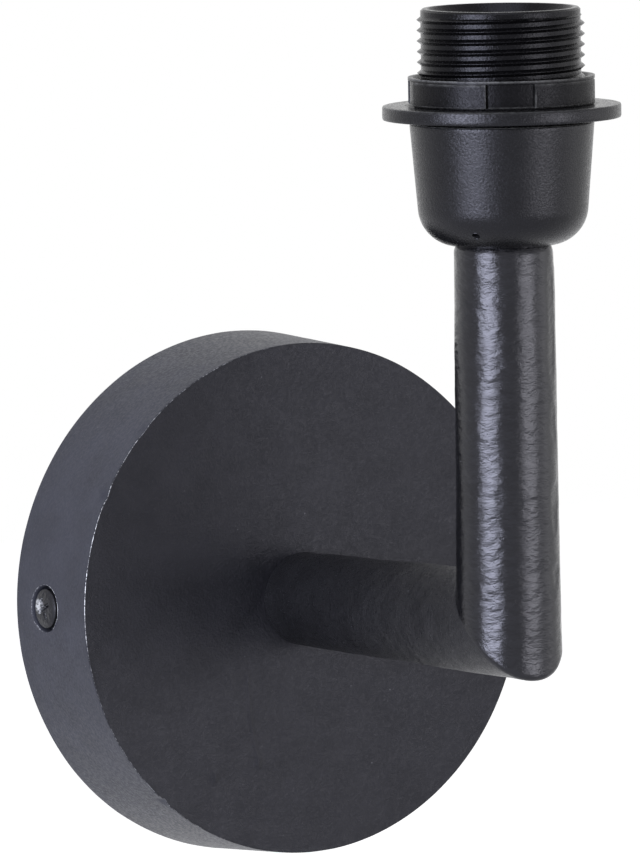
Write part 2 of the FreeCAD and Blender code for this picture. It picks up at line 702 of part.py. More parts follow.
# ---------------------------------------------------------------- lampholder
def lampholder_dome():
    """The moulded cup under the lampholder, drawn in to a rounded foot, with a small vent hole."""
    step = "dome_step"
    cup = turned("Dome", [
        ("nipple_radius + hole_clearance", "0"),
        (DOME_FOOT, "0"),
        (DOME_RIM, "dome_height"),
        (DOME_BORE, "dome_height"),
        (DOME_BORE, step),
        (CONTACT_FLANGE + " - dome_seat_width", step),
        (CONTACT_FLANGE + " - dome_seat_width - joint_gap", "dome_floor * 4"),
        (DOME_FOOT + " - dome_foot_round * 0.35", "dome_floor * 2.2"),
        (DOME_FOOT + " - dome_foot_round * 0.8", "dome_floor"),
        ("nipple_radius + hole_clearance", "dome_floor"),
    ], ("0", "-arm_reach", "upright_rise"))
    rounded_edge(cup, DOME_FOOT, "dome_foot_round")
    vent = doc.addObject("Part::Cylinder", "Vent")
    bind(vent, Radius="dome_vent_radius", Height=DOME_FOOT)
    bearing = FreeCAD.Rotation(FreeCAD.Vector(0, 0, 1), FreeCAD.Vector(*VENT_WAY))
    vent.Placement = FreeCAD.Placement(FreeCAD.Vector(), bearing)
    bind(vent, **{
        "Placement.Base.x": "%s * dome_vent_place" % VENT_WAY[0],
        "Placement.Base.y": "%s * dome_vent_place - arm_reach" % VENT_WAY[1],
        "Placement.Base.z": "upright_rise + dome_foot_round",
    })
    keep(cut(cup, vent), "lampholder_dome")


def dome_thread_insert():
    """A hexagon nut moulded into the dome's floor, held on the nipple by a grub screw."""
    seat = "upright_rise + dome_floor"
    hexagon = prism("insert_flats", "insert_height", ("0", "-arm_reach", seat))
    thread = cylinder("nipple_radius + thread_clearance", "insert_height * 3",
                      ("0", "-arm_reach", "%s - insert_height" % seat))
    middle = ("0", "-arm_reach + nipple_radius + thread_clearance * 2", "%s + insert_height / 2" % seat)
    screw_hole = cylinder("lock_screw_radius + thread_clearance", "insert_flats", middle, "+Y")
    keep(cut(hexagon, thread, screw_hole), "dome_thread_insert")
    screw = cylinder("lock_screw_radius", "lock_screw_length", middle, "+Y")
    slot = block("lock_screw_radius * 3", "lock_screw_radius", "lock_screw_radius / 3",
                 ("-lock_screw_radius * 1.5",
                  "-arm_reach + nipple_radius + lock_screw_length - lock_screw_radius / 2",
                  "%s + insert_height / 2 - lock_screw_radius / 6" % seat))
    keep(cut(screw, slot), "insert_lock_screw")


def contact_block():
    """The moulded block that holds the contacts, clamped between the dome's step and the skirt."""
    body = turned("ContactBlock", [
        ("0", "0"),
        (CONTACT_FLANGE, "0"),
        (CONTACT_FLANGE, "contact_flange_thickness"),
        (CONTACT_BODY, "contact_flange_thickness"),
        (CONTACT_BODY, "contact_body_height"),
        ("0", "contact_body_height"),
    ], ("0", "-arm_reach", CONTACT_FOOT))
    holes = []
    screws = []
    for side in (-1, 1):
        place_x = "%d * terminal_place" % side
        holes.append(cylinder("terminal_hole_radius", "contact_body_height / 2",
                              (place_x, "-arm_reach", CONTACT_FOOT)))
        row = "-arm_reach + terminal_place / 2"
        holes.append(cylinder("terminal_screw_radius + thread_clearance", "contact_body_height / 2",
                              (place_x, row, CONTACT_FOOT)))
        head_at = (place_x, row, "%s - terminal_head_height" % CONTACT_FOOT)
        head = cylinder("terminal_head_radius", "terminal_head_height", head_at)
        shank = cylinder("terminal_screw_radius",
                         "terminal_head_height + contact_body_height / 2 - face_gap", head_at)
        slot = block("terminal_head_radius * 3", "terminal_head_radius / 4", "terminal_head_height",
                     ("%s - terminal_head_radius * 1.5" % place_x,
                      "%s - terminal_head_radius / 8" % row,
                      "%s - terminal_head_height * 1.5" % CONTACT_FOOT))
        screws.append(cut(fuse(head, shank), slot))
    keep(cut(body, *holes), "contact_block")
    keep(group(*screws), "terminal_screws")


def contacts():
    """The sprung centre contact and the side contact, of bent strip, on top of the contact block."""
    strip = "tongue_thickness"
    foot = "tongue_width / 2"
    knee = "tongue_foot_to_tip"
    seat = "%s + face_gap" % CONTACT_TOP
    keep(padded("CentreContact", [
        ("0", "0"),
        (foot, "0"),
        (knee, "tongue_rise - " + strip),
        ("%s + tongue_hook" % knee, "tongue_rise - tongue_hook"),
        ("%s + tongue_hook + %s" % (knee, strip), "tongue_rise - tongue_hook + %s / 2" % strip),
        ("%s + %s / 2" % (knee, strip), "tongue_rise"),
        ("%s - %s / 2" % (knee, strip), "tongue_rise"),
        (foot, strip),
        ("0", strip),
    ], "tongue_width", ("0", "-arm_reach - %s" % knee, seat)), "centre_contact")
    keep(padded("SideContact", [
        ("0", "0"),
        ("tongue_width", "0"),
        ("tongue_width", "tongue_rise"),
        ("tongue_width - side_contact_lip", "tongue_rise"),
        ("tongue_width - side_contact_lip", "tongue_rise - " + strip),
        ("tongue_width - " + strip, "tongue_rise - " + strip),
        ("tongue_width - " + strip, strip),
        ("0", strip),
    ], "tongue_width", ("0", "-arm_reach + %s - tongue_width - joint_gap * 3" % SOCKET_THROAT,
                        CONTACT_TOP)), "side_contact")


def lampholder_skirt():
    """The skirt: a sleeve inside the dome, the outer thread at its crests, and the lamp's socket."""
    shoulder = "(%s - %s)" % (SKIRT_SHOULDER, SKIRT_FOOT)
    top = "(%s - %s)" % (SKIRT_TOP, SKIRT_FOOT)
    chamber = "(%s + joint_gap - %s)" % (CONTACT_TOP, SKIRT_FOOT)
    floor = "(%s + socket_floor)" % chamber
    mouth = "(%s + socket_length)" % floor
    pocket = "(%s - socket_roof)" % mouth
    lip = "(%s - skirt_lip_height)" % top
    keep(turned("Skirt", [
        (SKIRT_CHAMBER, "0"),
        (SKIRT_SLEEVE, "0"),
        (SKIRT_SLEEVE, shoulder),
        (SKIRT_CREST, shoulder),
        (SKIRT_CREST, lip),
        (SKIRT_LIP, lip + " + skirt_bevel"),
        (SKIRT_LIP, top + " - skirt_bevel"),
        (SKIRT_LIP + " - skirt_bevel", top),
        (SKIRT_LIP + " - mouth_wall", top),
        ("socket_radius", mouth),
        ("socket_radius", floor),
        (SOCKET_THROAT, floor),
        (SOCKET_THROAT, chamber),
        ("socket_radius + socket_wall", chamber),
        ("socket_radius + socket_wall", pocket),
        (SKIRT_CHAMBER, pocket),
    ], ("0", "-arm_reach", SKIRT_FOOT)), "lampholder_skirt")


def shade_ring():
    """The shade ring's flange and, above it, its collar, both running on the skirt's thread."""
    flange = ring("RingFlange", RING_BORE, RING_BORE + " + ring_flange_width", "ring_flange_thickness",
                  ("0", "-arm_reach", RING_FOOT))
    collar = ring("RingCollar", RING_BORE, RING_BORE + " + ring_collar_wall", "ring_collar_height",
                  ("0", "-arm_reach", RING_STEP + " + face_gap"))
    keep(flange, "shade_ring_flange")
    keep(collar, "shade_ring_collar")


# ---------------------------------------------------------------- wires
def lamp_wire(label, side, pole):
    """From the terminal block, round into the rear nipple, through arm and upright, to a terminal."""
    lane = "%d * wire_offset" % side
    terminal = "%d * terminal_place" % side
    port = "-" + PORT_DEPTH
    wire(label, [
        ((pole, port, "-block_drop + block_height / 2 - wire_grip"), None),
        ((pole, port, "-block_drop + block_height / 2 + wire_loop_drop * 2 / 3"), "wire_bend_radius"),
        (("%s + %s * 2" % (pole, lane), "-wire_loop_depth", "-wire_loop_drop"), "wire_bend_radius"),
        ((lane, "-wire_loop_depth", "0"), "wire_bend_radius * 0.9"),
        ((lane, "-arm_reach", "0"), "wire_elbow_radius"),
        ((lane, "-arm_reach", "upright_rise + dome_floor + insert_height"), "wire_bend_radius * 0.8"),
        ((terminal, "-arm_reach", "%s - wire_grip" % CONTACT_FOOT), "wire_bend_radius * 0.6"),
        ((terminal, "-arm_reach", "%s + wire_grip" % CONTACT_FOOT), None),
    ])


def earth_wire():
    """From the canopy's earth tag to the terminal block's third pole."""
    level = "-%s + toothed_washer_thickness + earth_tag_thickness / 2 + barrel_radius" % CANOPY_INSIDE
    turn = "earth_tag_reach + wire_bend_radius * 1.4"
    port = "-" + PORT_DEPTH
    over = "-block_drop + block_height / 2 + wire_loop_drop"
    wire("earth_wire", [
        (("earth_tag_reach - barrel_length * 0.8", level, "0"), None),
        ((turn, level, "0"), "wire_bend_radius"),
        ((turn, port, over), "wire_bend_radius"),
        (("pole_spacing", port, over), "wire_bend_radius"),
        (("pole_spacing", port, "-block_drop + block_height / 2 - wire_grip"), None),
    ])


# ---------------------------------------------------------------- build, test and write
wall_bracket()
earth_fixing()
canopy()
for side_name, side_sign, side_axis in SIDES:
    side_screw(side_name, side_sign, side_axis)
    side_nut(side_name, side_sign, side_axis)
arm_tube()
upright_tube()
end_plugs()
nipples()
rear_fastening()
terminal_block()
lampholder_dome()
dome_thread_insert()
contact_block()
contacts()
lampholder_skirt()
shade_ring()
lamp_wire("live_wire", -1, "-pole_spacing")
lamp_wire("neutral_wire", 1, "0")
earth_wire()

doc.recompute()
for obj in doc.Objects:
    if "Invalid" in obj.State or "Error" in obj.State:
        raise RuntimeError("%s (%s) failed: %s" % (obj.Label, obj.Name, obj.State))
for obj in nodes:
    if obj.Shape.isNull() or not obj.Shape.isValid():
        raise RuntimeError("%s has no valid shape" % obj.Label)

os.makedirs("parts", exist_ok=True)
for obj in nodes:
    obj.Shape.exportStep("parts/%s.step" % obj.Label)
    print(obj.Label, len(obj.Shape.Solids), "solid(s), %.1f mm3" % obj.Shape.Volume)
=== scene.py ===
import itertools
import math

import bmesh
import bpy
import numpy as np
from mathutils import Matrix, Vector


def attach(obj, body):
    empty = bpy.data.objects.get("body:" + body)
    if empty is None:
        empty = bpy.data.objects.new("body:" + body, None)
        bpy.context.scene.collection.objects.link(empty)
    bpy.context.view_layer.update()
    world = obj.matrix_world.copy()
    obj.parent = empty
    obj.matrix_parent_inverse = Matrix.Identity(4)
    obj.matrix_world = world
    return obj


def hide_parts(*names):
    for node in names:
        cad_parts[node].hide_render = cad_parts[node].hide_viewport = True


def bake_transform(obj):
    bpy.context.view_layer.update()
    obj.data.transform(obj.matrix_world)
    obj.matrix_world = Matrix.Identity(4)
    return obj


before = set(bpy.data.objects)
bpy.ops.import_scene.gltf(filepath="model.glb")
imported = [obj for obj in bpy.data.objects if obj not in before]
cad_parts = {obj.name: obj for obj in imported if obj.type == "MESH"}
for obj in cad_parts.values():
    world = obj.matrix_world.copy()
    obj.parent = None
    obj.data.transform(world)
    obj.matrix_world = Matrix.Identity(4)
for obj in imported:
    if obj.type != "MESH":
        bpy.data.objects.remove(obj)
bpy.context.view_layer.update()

MM = 0.001
TAU = 2 * math.pi

# -------- sizes, in millimetres
REACH = 122.2  # the upright's axis, in front of the wall
RISE = 90.0  # the lampholder's foot, above the arm's axis
CANOPY_BACK, CANOPY_FRONT = 62.5, 61.2  # the canopy's radii at the wall and at its face
CANOPY_DEPTH, CANOPY_WALL = 29.4, 1.5
NIPPLE_HOLE = 5.25  # radius of the holes that the two nipples pass through
SCREW_DEPTH = 12.0  # the side screws' axis, in front of the wall
POCKET_RADIUS, POCKET_HOLE = 5.6, 2.75  # a side screw's recess, and the hole in its floor
POCKET_FLOOR = 58.9  # the recess's floor, from the arm's axis
BOSS_RADIUS, BOSS_TOP = 6.8, 57.7  # the same recess seen from inside the canopy
ARM_ROOT, ELBOW, UPRIGHT_TOP = 11.3, 12.5, 11.9  # the tubes' radii along their run
TUBE_WALL = 1.5
DOME_TOP = 119.3


# -------- noise
AXIS_KEYS = np.array([73856093, 19349663, 83492791])
SEED_KEY, MIX_KEY = 40503, 1274126177
LOW_32_BITS, LOW_24_BITS = 0xFFFFFFFF, 0xFFFFFF


def cell_value(cells, seed):
    """A fixed number from -1 to 1 for each whole-numbered cell."""
    n = cells @ AXIS_KEYS + seed * SEED_KEY
    n = (n ^ (n >> 13)) & LOW_32_BITS
    n = (n * MIX_KEY) & LOW_32_BITS
    n = n ^ (n >> 16)
    return (n & LOW_24_BITS) / (LOW_24_BITS // 2) - 1.0


def noise(points, cell, seed):
    """Smooth noise from -1 to 1, one bump to a cell of that many millimetres."""
    scaled = np.asarray(points, float) / cell
    low = np.floor(scaled).astype(np.int64)
    part = scaled - low
    part = part * part * (3 - 2 * part)
    total = np.zeros(scaled.shape[:-1])
    for corner in itertools.product((0, 1), repeat=3):
        weight = np.prod(np.where(np.array(corner) == 1, part, 1 - part), axis=-1)
        total += weight * cell_value(low + np.array(corner), seed)
    return total


def smooth(low, high, value):
    """A soft step from 0 at low to 1 at high."""
    part = np.clip((value - low) / (high - low), 0, 1)
    return part * part * (3 - 2 * part)


def bell(away, width):
    """1 where away is 0, and falling off to 0 either side."""
    return np.exp(-(away / width) ** 2)


# -------- mesh making
MERGE_WITHIN, COLLAPSE_UNDER = 2e-7, 1e-7  # metres
ARC_STEP = 0.35  # millimetres between the points of a rounded corner


def in_scene(name, data):
    """A new object in the scene."""
    obj = bpy.data.objects.new(name, data)
    bpy.context.scene.collection.objects.link(obj)
    return obj


class Skin:
    """A mesh while it is made: rows of points in millimetres, and the faces between them."""

    def __init__(self):
        self.rows, self.faces, self.count = [], [], 0
        self.wear_and_sheen = []

    def row(self, points, wear_and_sheen=0.0):
        """Add a row of points, and return their numbers. The last value is wear on metal, a painted edge
        highlight on plastic.
        """
        points = np.asarray(points, float).reshape(-1, 3)
        self.rows.append(points)
        self.wear_and_sheen.append(np.broadcast_to(np.asarray(wear_and_sheen, float), (len(points),)))
        first = self.count
        self.count += len(points)
        return np.arange(first, self.count)

    def band(self, a, b, columns=slice(None)):
        """Quads between two rows of the same length, all round or in the chosen columns."""
        quads = np.stack([a, np.roll(a, -1), np.roll(b, -1), b], axis=1)
        self.faces.extend(map(tuple, quads[columns].tolist()))

    def bands(self, rows, window=range(0), beside=None):
        """Quads between each row and the next, and in the window's rows only in the columns beside it."""
        for k, (a, b) in enumerate(zip(rows, rows[1:])):
            self.band(a, b, beside if k in window else slice(None))

    def lid(self, a, point):
        """Triangles from a row to one point."""
        tip = int(self.row([point])[0])
        self.faces.extend((i, j, tip) for i, j in zip(a.tolist(), np.roll(a, -1).tolist()))

    def piece(self, name, sharp):
        """The finished object; its edges are sharp where they turn more than that many degrees."""
        mesh = bpy.data.meshes.new(name)
        mesh.from_pydata((np.concatenate(self.rows) * MM).tolist(), [], self.faces)
        wear_and_sheen = np.concatenate(self.wear_and_sheen)
        if wear_and_sheen.any():
            layer = mesh.attributes.new("wear_and_sheen", "FLOAT", "POINT")
            layer.data.foreach_set("value", wear_and_sheen.astype(np.float32))
        shape = bmesh.new()
        shape.from_mesh(mesh)
        bmesh.ops.remove_doubles(shape, verts=shape.verts, dist=MERGE_WITHIN)
        bmesh.ops.dissolve_degenerate(shape, edges=shape.edges, dist=COLLAPSE_UNDER)
        bmesh.ops.recalc_face_normals(shape, faces=shape.faces)
        shape.to_mesh(mesh)
        shape.free()
        mesh.shade_smooth()
        mesh.set_sharp_from_angle(angle=math.radians(sharp))
        return in_scene(name, mesh)


def fit_out(obj, body, slot, material, *nodes):
    """Give a piece its material, hide the nodes it stands for and hang it on the body it rides, if one. The
    slot is not used.
    """
    obj.data.materials.append(material)
    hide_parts(*nodes)
    if body:
        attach(obj, body)


def second_finish(obj, material, chosen):
    """Give the faces whose centre is chosen a second material."""
    obj.data.materials.append(material)
    for face in obj.data.polygons:
        if chosen(face.center):
            face.material_index = 1


def corner_arc(behind, here, ahead, radius):
    """Points round a corner that is rounded to a radius."""
    back, front = behind - here, ahead - here
    back, front = back / np.linalg.norm(back), front / np.linalg.norm(front)
    half = math.acos(float(np.clip(back @ front, -1, 1))) / 2
    reach = radius / math.tan(half)
    middle = here + (back + front) / np.linalg.norm(back + front) * radius / math.sin(half)
    first, last = here + back * reach - middle, here + front * reach - middle
    start = math.atan2(first[1], first[0])
    turn = (math.atan2(last[1], last[0]) - start + math.pi) % TAU - math.pi
    pieces = max(3, int(abs(turn) * radius / ARC_STEP))
    angles = [start + turn * s / pieces for s in range(pieces + 1)]
    return [middle + radius * np.array([math.cos(a), math.sin(a)]) for a in angles]


def rounded(corners, step, closed=True):
    """An outline through (radius, height) corners, some with a rounding: arcs, and short runs between."""
    places = [np.array(corner[:2], float) for corner in corners]
    out = []
    for k, corner in enumerate(corners):
        if len(corner) > 2:
            out += corner_arc(places[k - 1], places[k], places[(k + 1) % len(places)], corner[2])
        else:
            out.append(places[k])
    filled = []
    for k in range(len(out) if closed else len(out) - 1):
        here, ahead = out[k], out[(k + 1) % len(out)]
        runs = max(1, int(math.ceil(np.linalg.norm(ahead - here) / step)))
        filled += [here + (ahead - here) * s / runs for s in range(runs)]
    if not closed:
        filled.append(out[-1])
    return np.array(filled)


def all_round(count):
    """Even angles all round."""
    return np.arange(count) * TAU / count


def upright_points(radius, angle, height):
    """Points round the upright's axis."""
    radius, angle, height = np.broadcast_arrays(radius, angle, height)
    return np.stack([radius * np.cos(angle), -REACH + radius * np.sin(angle), height], axis=-1)


def wall_points(radius, angle, depth):
    """Points round the arm's axis, depth counted from the wall."""
    radius, angle, depth = np.broadcast_arrays(radius, angle, depth)
    return np.stack([radius * np.cos(angle), -depth, radius * np.sin(angle)], axis=-1)


def window_border(low, high, left, right):
    """The (row, column) places round the border of a window in a skin."""
    border = [(low, i) for i in range(left, right)] + [(k, right) for k in range(low, high)]
    return border + [(high, i) for i in range(right, left, -1)] + [(k, left) for k in range(high, low, -1)]


def helix_rows(skin, place, angles, low, high, pitch, phase, steps, radius):
    """A skin between two heights whose rows climb one pitch a turn, so that a thread's edges are crisp.
    radius(angle, height, turns) is the skin's radius; the lowest and highest rows are level."""
    count, per = len(angles), len(steps)
    first_turn = math.floor((low - phase) / pitch) - 2
    last_turn = math.ceil((high - phase) / pitch) + 2
    turns = np.array([k + s for k in range(first_turn, last_turn) for s in steps])
    table = []
    for angle in angles:
        raw = phase + pitch * (turns + angle / TAU)
        height = np.clip(raw, low, high)
        at_turn = (height - phase) / pitch
        table.append(skin.row(place(radius(angle, height, at_turn), angle, height)))
    for k in range(count):
        a, b = table[k], table[(k + 1) % count]
        if k == count - 1:
            a, b = a[:-per], b[per:]
        quads = np.stack([a[:-1], b[:-1], b[1:], a[1:]], axis=1)
        skin.faces.extend(map(tuple, quads.tolist()))


# -------- materials
class Finish:
    """A procedural material while it is made."""

    def __init__(self, name, **sockets):
        self.material = bpy.data.materials.new(name)
        self.material.use_nodes = True
        self.tree = self.material.node_tree
        self.shader = self.tree.nodes["Principled BSDF"]
        for socket, value in sockets.items():
            self.shader.inputs[socket.replace("_", " ")].default_value = value
        self.place = self.node("ShaderNodeTexCoord").outputs["Object"]

    def node(self, kind, **settings):
        made = self.tree.nodes.new(kind)
        for key, value in settings.items():
            setattr(made, key, value)
        return made

    def feed(self, socket, value):
        if isinstance(value, bpy.types.NodeSocket):
            self.tree.links.new(value, socket)
        else:
            socket.default_value = value

    def math(self, operation, *values):
        made = self.node("ShaderNodeMath", operation=operation)
        for socket, value in zip(made.inputs, values):
            self.feed(socket, value)
        return made.outputs[0]

    def noise(self, cell, detail=2.0, roughness=0.5, scale=None):
        """Noise from 0 to 1 with features of about that many millimetres, divided by the scale."""
        made = self.node("ShaderNodeTexNoise")
        if scale:
            mapping = self.node("ShaderNodeMapping")
            mapping.inputs["Scale"].default_value = scale
            self.feed(mapping.inputs["Vector"], self.place)
        self.feed(made.inputs["Vector"], mapping.outputs[0] if scale else self.place)
        made.inputs["Scale"].default_value = 1 / (cell * MM)
        made.inputs["Detail"].default_value = detail
        made.inputs["Roughness"].default_value = roughness
        return made.outputs["Fac"]

    def spots(self, cell, size):
        """1 in small round spots scattered one to a cell."""
        made = self.node("ShaderNodeTexVoronoi")
        self.feed(made.inputs["Vector"], self.place)
        made.inputs["Scale"].default_value = 1 / (cell * MM)
        return self.spread(made.outputs["Distance"], size, size * 0.5)

    def spread(self, value, low, high, to_low=0.0, to_high=1.0):
        """A value's range from low to high, stretched to another range."""
        made = self.node("ShaderNodeMapRange")
        for socket, item in zip(made.inputs, (value, low, high, to_low, to_high)):
            self.feed(socket, item)
        return made.outputs[0]

    def blend(self, share, a, b):
        """From colour a to colour b."""
        made = self.node("ShaderNodeMix", data_type="RGBA")
        self.feed(made.inputs[0], share)
        for socket, item in zip((made.inputs[6], made.inputs[7]), (a, b)):
            self.feed(socket, item if isinstance(item, bpy.types.NodeSocket) else (*item, 1.0))
        return made.outputs[2]

    def bump(self, height, strength, distance, under=None):
        made = self.node("ShaderNodeBump")
        self.feed(made.inputs["Height"], height)
        made.inputs["Strength"].default_value = strength
        made.inputs["Distance"].default_value = distance * MM
        if under is not None:
            self.feed(made.inputs["Normal"], under)
        return made.outputs[0]

    # On metal pieces this value is wear; on the plastic pieces it is a painted highlight along sharp edges.
    def wear_and_sheen(self):
        return self.node("ShaderNodeAttribute", attribute_name="wear_and_sheen").outputs["Fac"]

    def set(self, socket, value):
        self.feed(self.shader.inputs[socket], value)
        return self


COOL = (0.88, 0.88, 1.0, 1.0)  # tint of the black finishes' gloss
BARE_STEEL = (0.56, 0.57, 0.60)
DUST = (0.09, 0.09, 0.10)


def shaded(colour, share):
    return tuple(c * share for c in colour)


def coat(name, dark, light, roughness, grain, depth, gloss, lumps=0.0, streaks=0.0, steel=False):
    """Black coat: mottled colour, grain, soft lumps, grinding streaks, dust specks and, where worn, bare
    steel. The grain's size and depth, the lumps and the streaks are in millimetres."""
    f = Finish(name, Specular_IOR_Level=gloss, Specular_Tint=COOL)
    mottle = f.noise(9.0, detail=4.0, roughness=0.6)
    fine = f.noise(grain, roughness=0.7)
    colour = f.blend(f.spread(mottle, 0.35, 0.65), dark, light)
    colour = f.blend(f.spread(fine, 0.55, 0.75, 0.0, 0.35), colour, shaded(light, 1.9))
    dust = f.math("MULTIPLY", f.spots(cell=5.5, size=0.045), f.spread(f.noise(14.0), 0.5, 0.6))
    colour = f.blend(dust, colour, DUST)
    patchy = f.noise(grain * 1.3, roughness=0.7)
    rough = f.spread(patchy, 0.38, 0.62, roughness - 0.08, roughness + 0.10)
    normal = f.bump(fine, 1.0, depth)
    if lumps:
        hills = f.noise(3.4, scale=(1.0, 1.0, 1.7))
        normal = f.bump(hills, 1.0, lumps, normal)
    if streaks:
        ground = f.noise(0.7, detail=3.0, roughness=0.6, scale=(0.12, 1.0, 0.12))
        normal = f.bump(ground, 1.0, streaks, normal)
    if steel:
        chips = f.spread(f.noise(0.7, detail=3.0, roughness=0.7), 0.36, 0.60)
        bare = f.spread(f.math("MULTIPLY", f.wear_and_sheen(), chips), 0.12, 0.6)
        colour = f.blend(bare, colour, BARE_STEEL)
        rough = f.math("ADD", rough, f.math("MULTIPLY", bare, 0.1))
        f.set("Metallic", f.math("MULTIPLY", bare, 0.6))
    f.set("Base Color", colour).set("Roughness", rough).set("Normal", normal)
    return f.material


def plastic(name, dark, light, roughness, grain, depth, gloss):
    """Moulded plastic with a spark-eroded grain, and a painted highlight in pale lines along its sharp edges.
    """
    f = Finish(name, Specular_IOR_Level=gloss, Specular_Tint=COOL)
    fine = f.noise(grain, roughness=0.7)
    colour = f.blend(f.spread(f.noise(11.0, detail=3.0), 0.35, 0.65), dark, light)
    colour = f.blend(f.spread(fine, 0.56, 0.72, 0.0, 0.4), colour, shaded(light, 1.8))
    # Painted highlight: pale lines where sharp edges would catch the light, from the mesh's edge value.
    rub_and_sheen = f.math("MULTIPLY", f.wear_and_sheen(), f.spread(f.noise(1.6), 0.3, 0.6, 0.3, 1.0))
    colour = f.blend(rub_and_sheen, colour, tuple(c * 0.5 + 0.17 for c in light))
    patchy = f.noise(grain * 1.3, roughness=0.7)
    rough = f.spread(patchy, 0.38, 0.62, roughness - 0.09, roughness + 0.09)
    f.set("Base Color", colour).set("Roughness", rough)
    f.set("Normal", f.bump(fine, 1.0, depth))
    return f.material


def plated(name, colour, roughness):
    """Plated or bare metal: fine drawn marks, small stains."""
    f = Finish(name, Metallic=1.0)
    marks = f.noise(0.5, detail=3.0, roughness=0.6, scale=(1.0, 1.0, 6.0))
    stain = f.noise(4.0, detail=4.0, roughness=0.6)
    f.set("Base Color", f.blend(f.spread(stain, 0.4, 0.7), colour, shaded(colour, 0.75)))
    f.set("Roughness", f.spread(marks, 0.3, 0.7, roughness - 0.06, roughness + 0.1))
    f.set("Normal", f.bump(marks, 0.4, 0.02))
    return f.material


def rubber(name, colour, stripe=None):
    """Wire insulation, with a second colour in lengthways stripes where it has one."""
    f = Finish(name, Specular_IOR_Level=0.4)
    marks = f.noise(0.8, detail=3.0)
    shade = f.blend(f.spread(marks, 0.35, 0.7), colour, shaded(colour, 0.8))
    if stripe:
        bands = f.node("ShaderNodeTexWave", bands_direction="X")
        f.feed(bands.inputs["Vector"], f.place)
        bands.inputs["Scale"].default_value = 150.0
        shade = f.blend(f.spread(bands.outputs["Fac"], 0.45, 0.55), shade, stripe)
    f.set("Base Color", shade)
    f.set("Roughness", f.spread(marks, 0.3, 0.7, 0.42, 0.56))
    f.set("Normal", f.bump(marks, 0.3, 0.01))
    return f.material


CANOPY_COAT = coat("canopy_coat", (0.0084, 0.0084, 0.0107), (0.0134, 0.0134, 0.0165), roughness=0.44,
                   grain=0.62, depth=0.16, gloss=0.22, lumps=0.06, steel=True)
# The rim's coat is a lighter, bluer copy of the face's coat: painted light from the cool key lamp that the
# rim faces.
LIT_RIM_COAT = coat("canopy_rim_lit_coat", (0.0235, 0.0245, 0.0325), (0.0310, 0.0323, 0.0430), roughness=0.42,
                grain=0.60, depth=0.05, gloss=0.22, lumps=0.04, steel=True)
UPRIGHT_COAT = coat("upright_coat", (0.0036, 0.0036, 0.0043), (0.0050, 0.0050, 0.0060), roughness=0.12,
                    grain=0.38, depth=0.06, gloss=0.36, lumps=0.22)
ARM_COAT = coat("arm_coat", (0.0068, 0.0068, 0.0080), (0.0100, 0.0100, 0.0116), roughness=0.34,
                grain=0.42, depth=0.10, gloss=0.29, lumps=0.30, streaks=0.10)
DOME_PLASTIC = plastic("black_plastic", (0.0036, 0.0036, 0.0041), (0.0050, 0.0050, 0.0057),
                       roughness=0.24, grain=0.50, depth=0.10, gloss=0.22)
RING_PLASTIC = plastic("black_ring_plastic", (0.0022, 0.0021, 0.0024), (0.0034, 0.0033, 0.0037),
                       roughness=0.27, grain=0.50, depth=0.10, gloss=0.10)
SKIRT_PLASTIC = plastic("black_skirt_plastic", (0.0014, 0.0013, 0.0016), (0.0024, 0.0023, 0.0027),
                        roughness=0.20, grain=0.50, depth=0.09, gloss=0.125)
SCREW_BLACK = coat("blackened_steel", (0.006, 0.006, 0.007), (0.013, 0.013, 0.015), roughness=0.36,
                   grain=0.5, depth=0.12, gloss=0.22, steel=True)
ZINC = plated("zinc_plate", (0.60, 0.61, 0.63), 0.34)
STRIP_STEEL = plated("strip_steel", (0.52, 0.53, 0.55), 0.40)
BRASS = plated("brass", (0.70, 0.54, 0.26), 0.30)
CONTACT_BRASS = plated("sprung_brass", (0.74, 0.60, 0.34), 0.26)
WHITE_PLASTIC = plastic("white_nylon", (0.70, 0.69, 0.65), (0.76, 0.75, 0.71),
                        roughness=0.42, grain=0.5, depth=0.015, gloss=0.5)
CONTACT_PLASTIC = plastic("contact_moulding", (0.62, 0.60, 0.54), (0.68, 0.66, 0.60),
                          roughness=0.45, grain=0.5, depth=0.015, gloss=0.5)
LIVE_RUBBER = rubber("brown_silicone", (0.17, 0.070, 0.028))
NEUTRAL_RUBBER = rubber("blue_silicone", (0.028, 0.09, 0.33))
EARTH_RUBBER = rubber("green_yellow_silicone", (0.05, 0.26, 0.05), stripe=(0.62, 0.55, 0.05))

FINISHED_NODES = (  # the CAD nodes that keep their own shape
    (STRIP_STEEL, ("wall_bracket",)),
    (BRASS, ("earth_screw", "earth_tag", "terminal_sleeves")),
    (CONTACT_BRASS, ("centre_contact", "side_contact")),
    (WHITE_PLASTIC, ("nipple_bush", "terminal_block")),
    (CONTACT_PLASTIC, ("contact_block",)),
    (ZINC, ("earth_clamp_washer", "side_nut_left", "side_nut_right", "arm_end_plug", "upright_top_plug",
            "rear_nipple", "top_nipple", "rear_toothed_washer", "rear_lock_nut", "terminal_block_screws",
            "block_stud", "block_nut", "dome_thread_insert", "insert_lock_screw", "terminal_screws")),
)
for finish, node_names in FINISHED_NODES:
    for node_name in node_names:
        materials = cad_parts[node_name].data.materials
        materials.clear()
        materials.append(finish)


# -------- canopy
COLUMNS = 720
ANGLES = all_round(COLUMNS)
WALL_DEPTHS = np.linspace(0, CANOPY_DEPTH - CANOPY_WALL, 57)  # rows of the wall, outside and inside
EDGE, EDGE_ROWS = 0.22, 6  # rounding between wall and face
PATCH_COLUMNS = 17  # half the window round each side screw, in columns
PATCH_FROM, PATCH_TO = 3.4, 20.6  # the window's reach, from the wall
PATCH_ROWS = [k for k, depth in enumerate(WALL_DEPTHS) if PATCH_FROM <= depth <= PATCH_TO]
PATCH_LOW, PATCH_HIGH = PATCH_ROWS[0], PATCH_ROWS[-1]

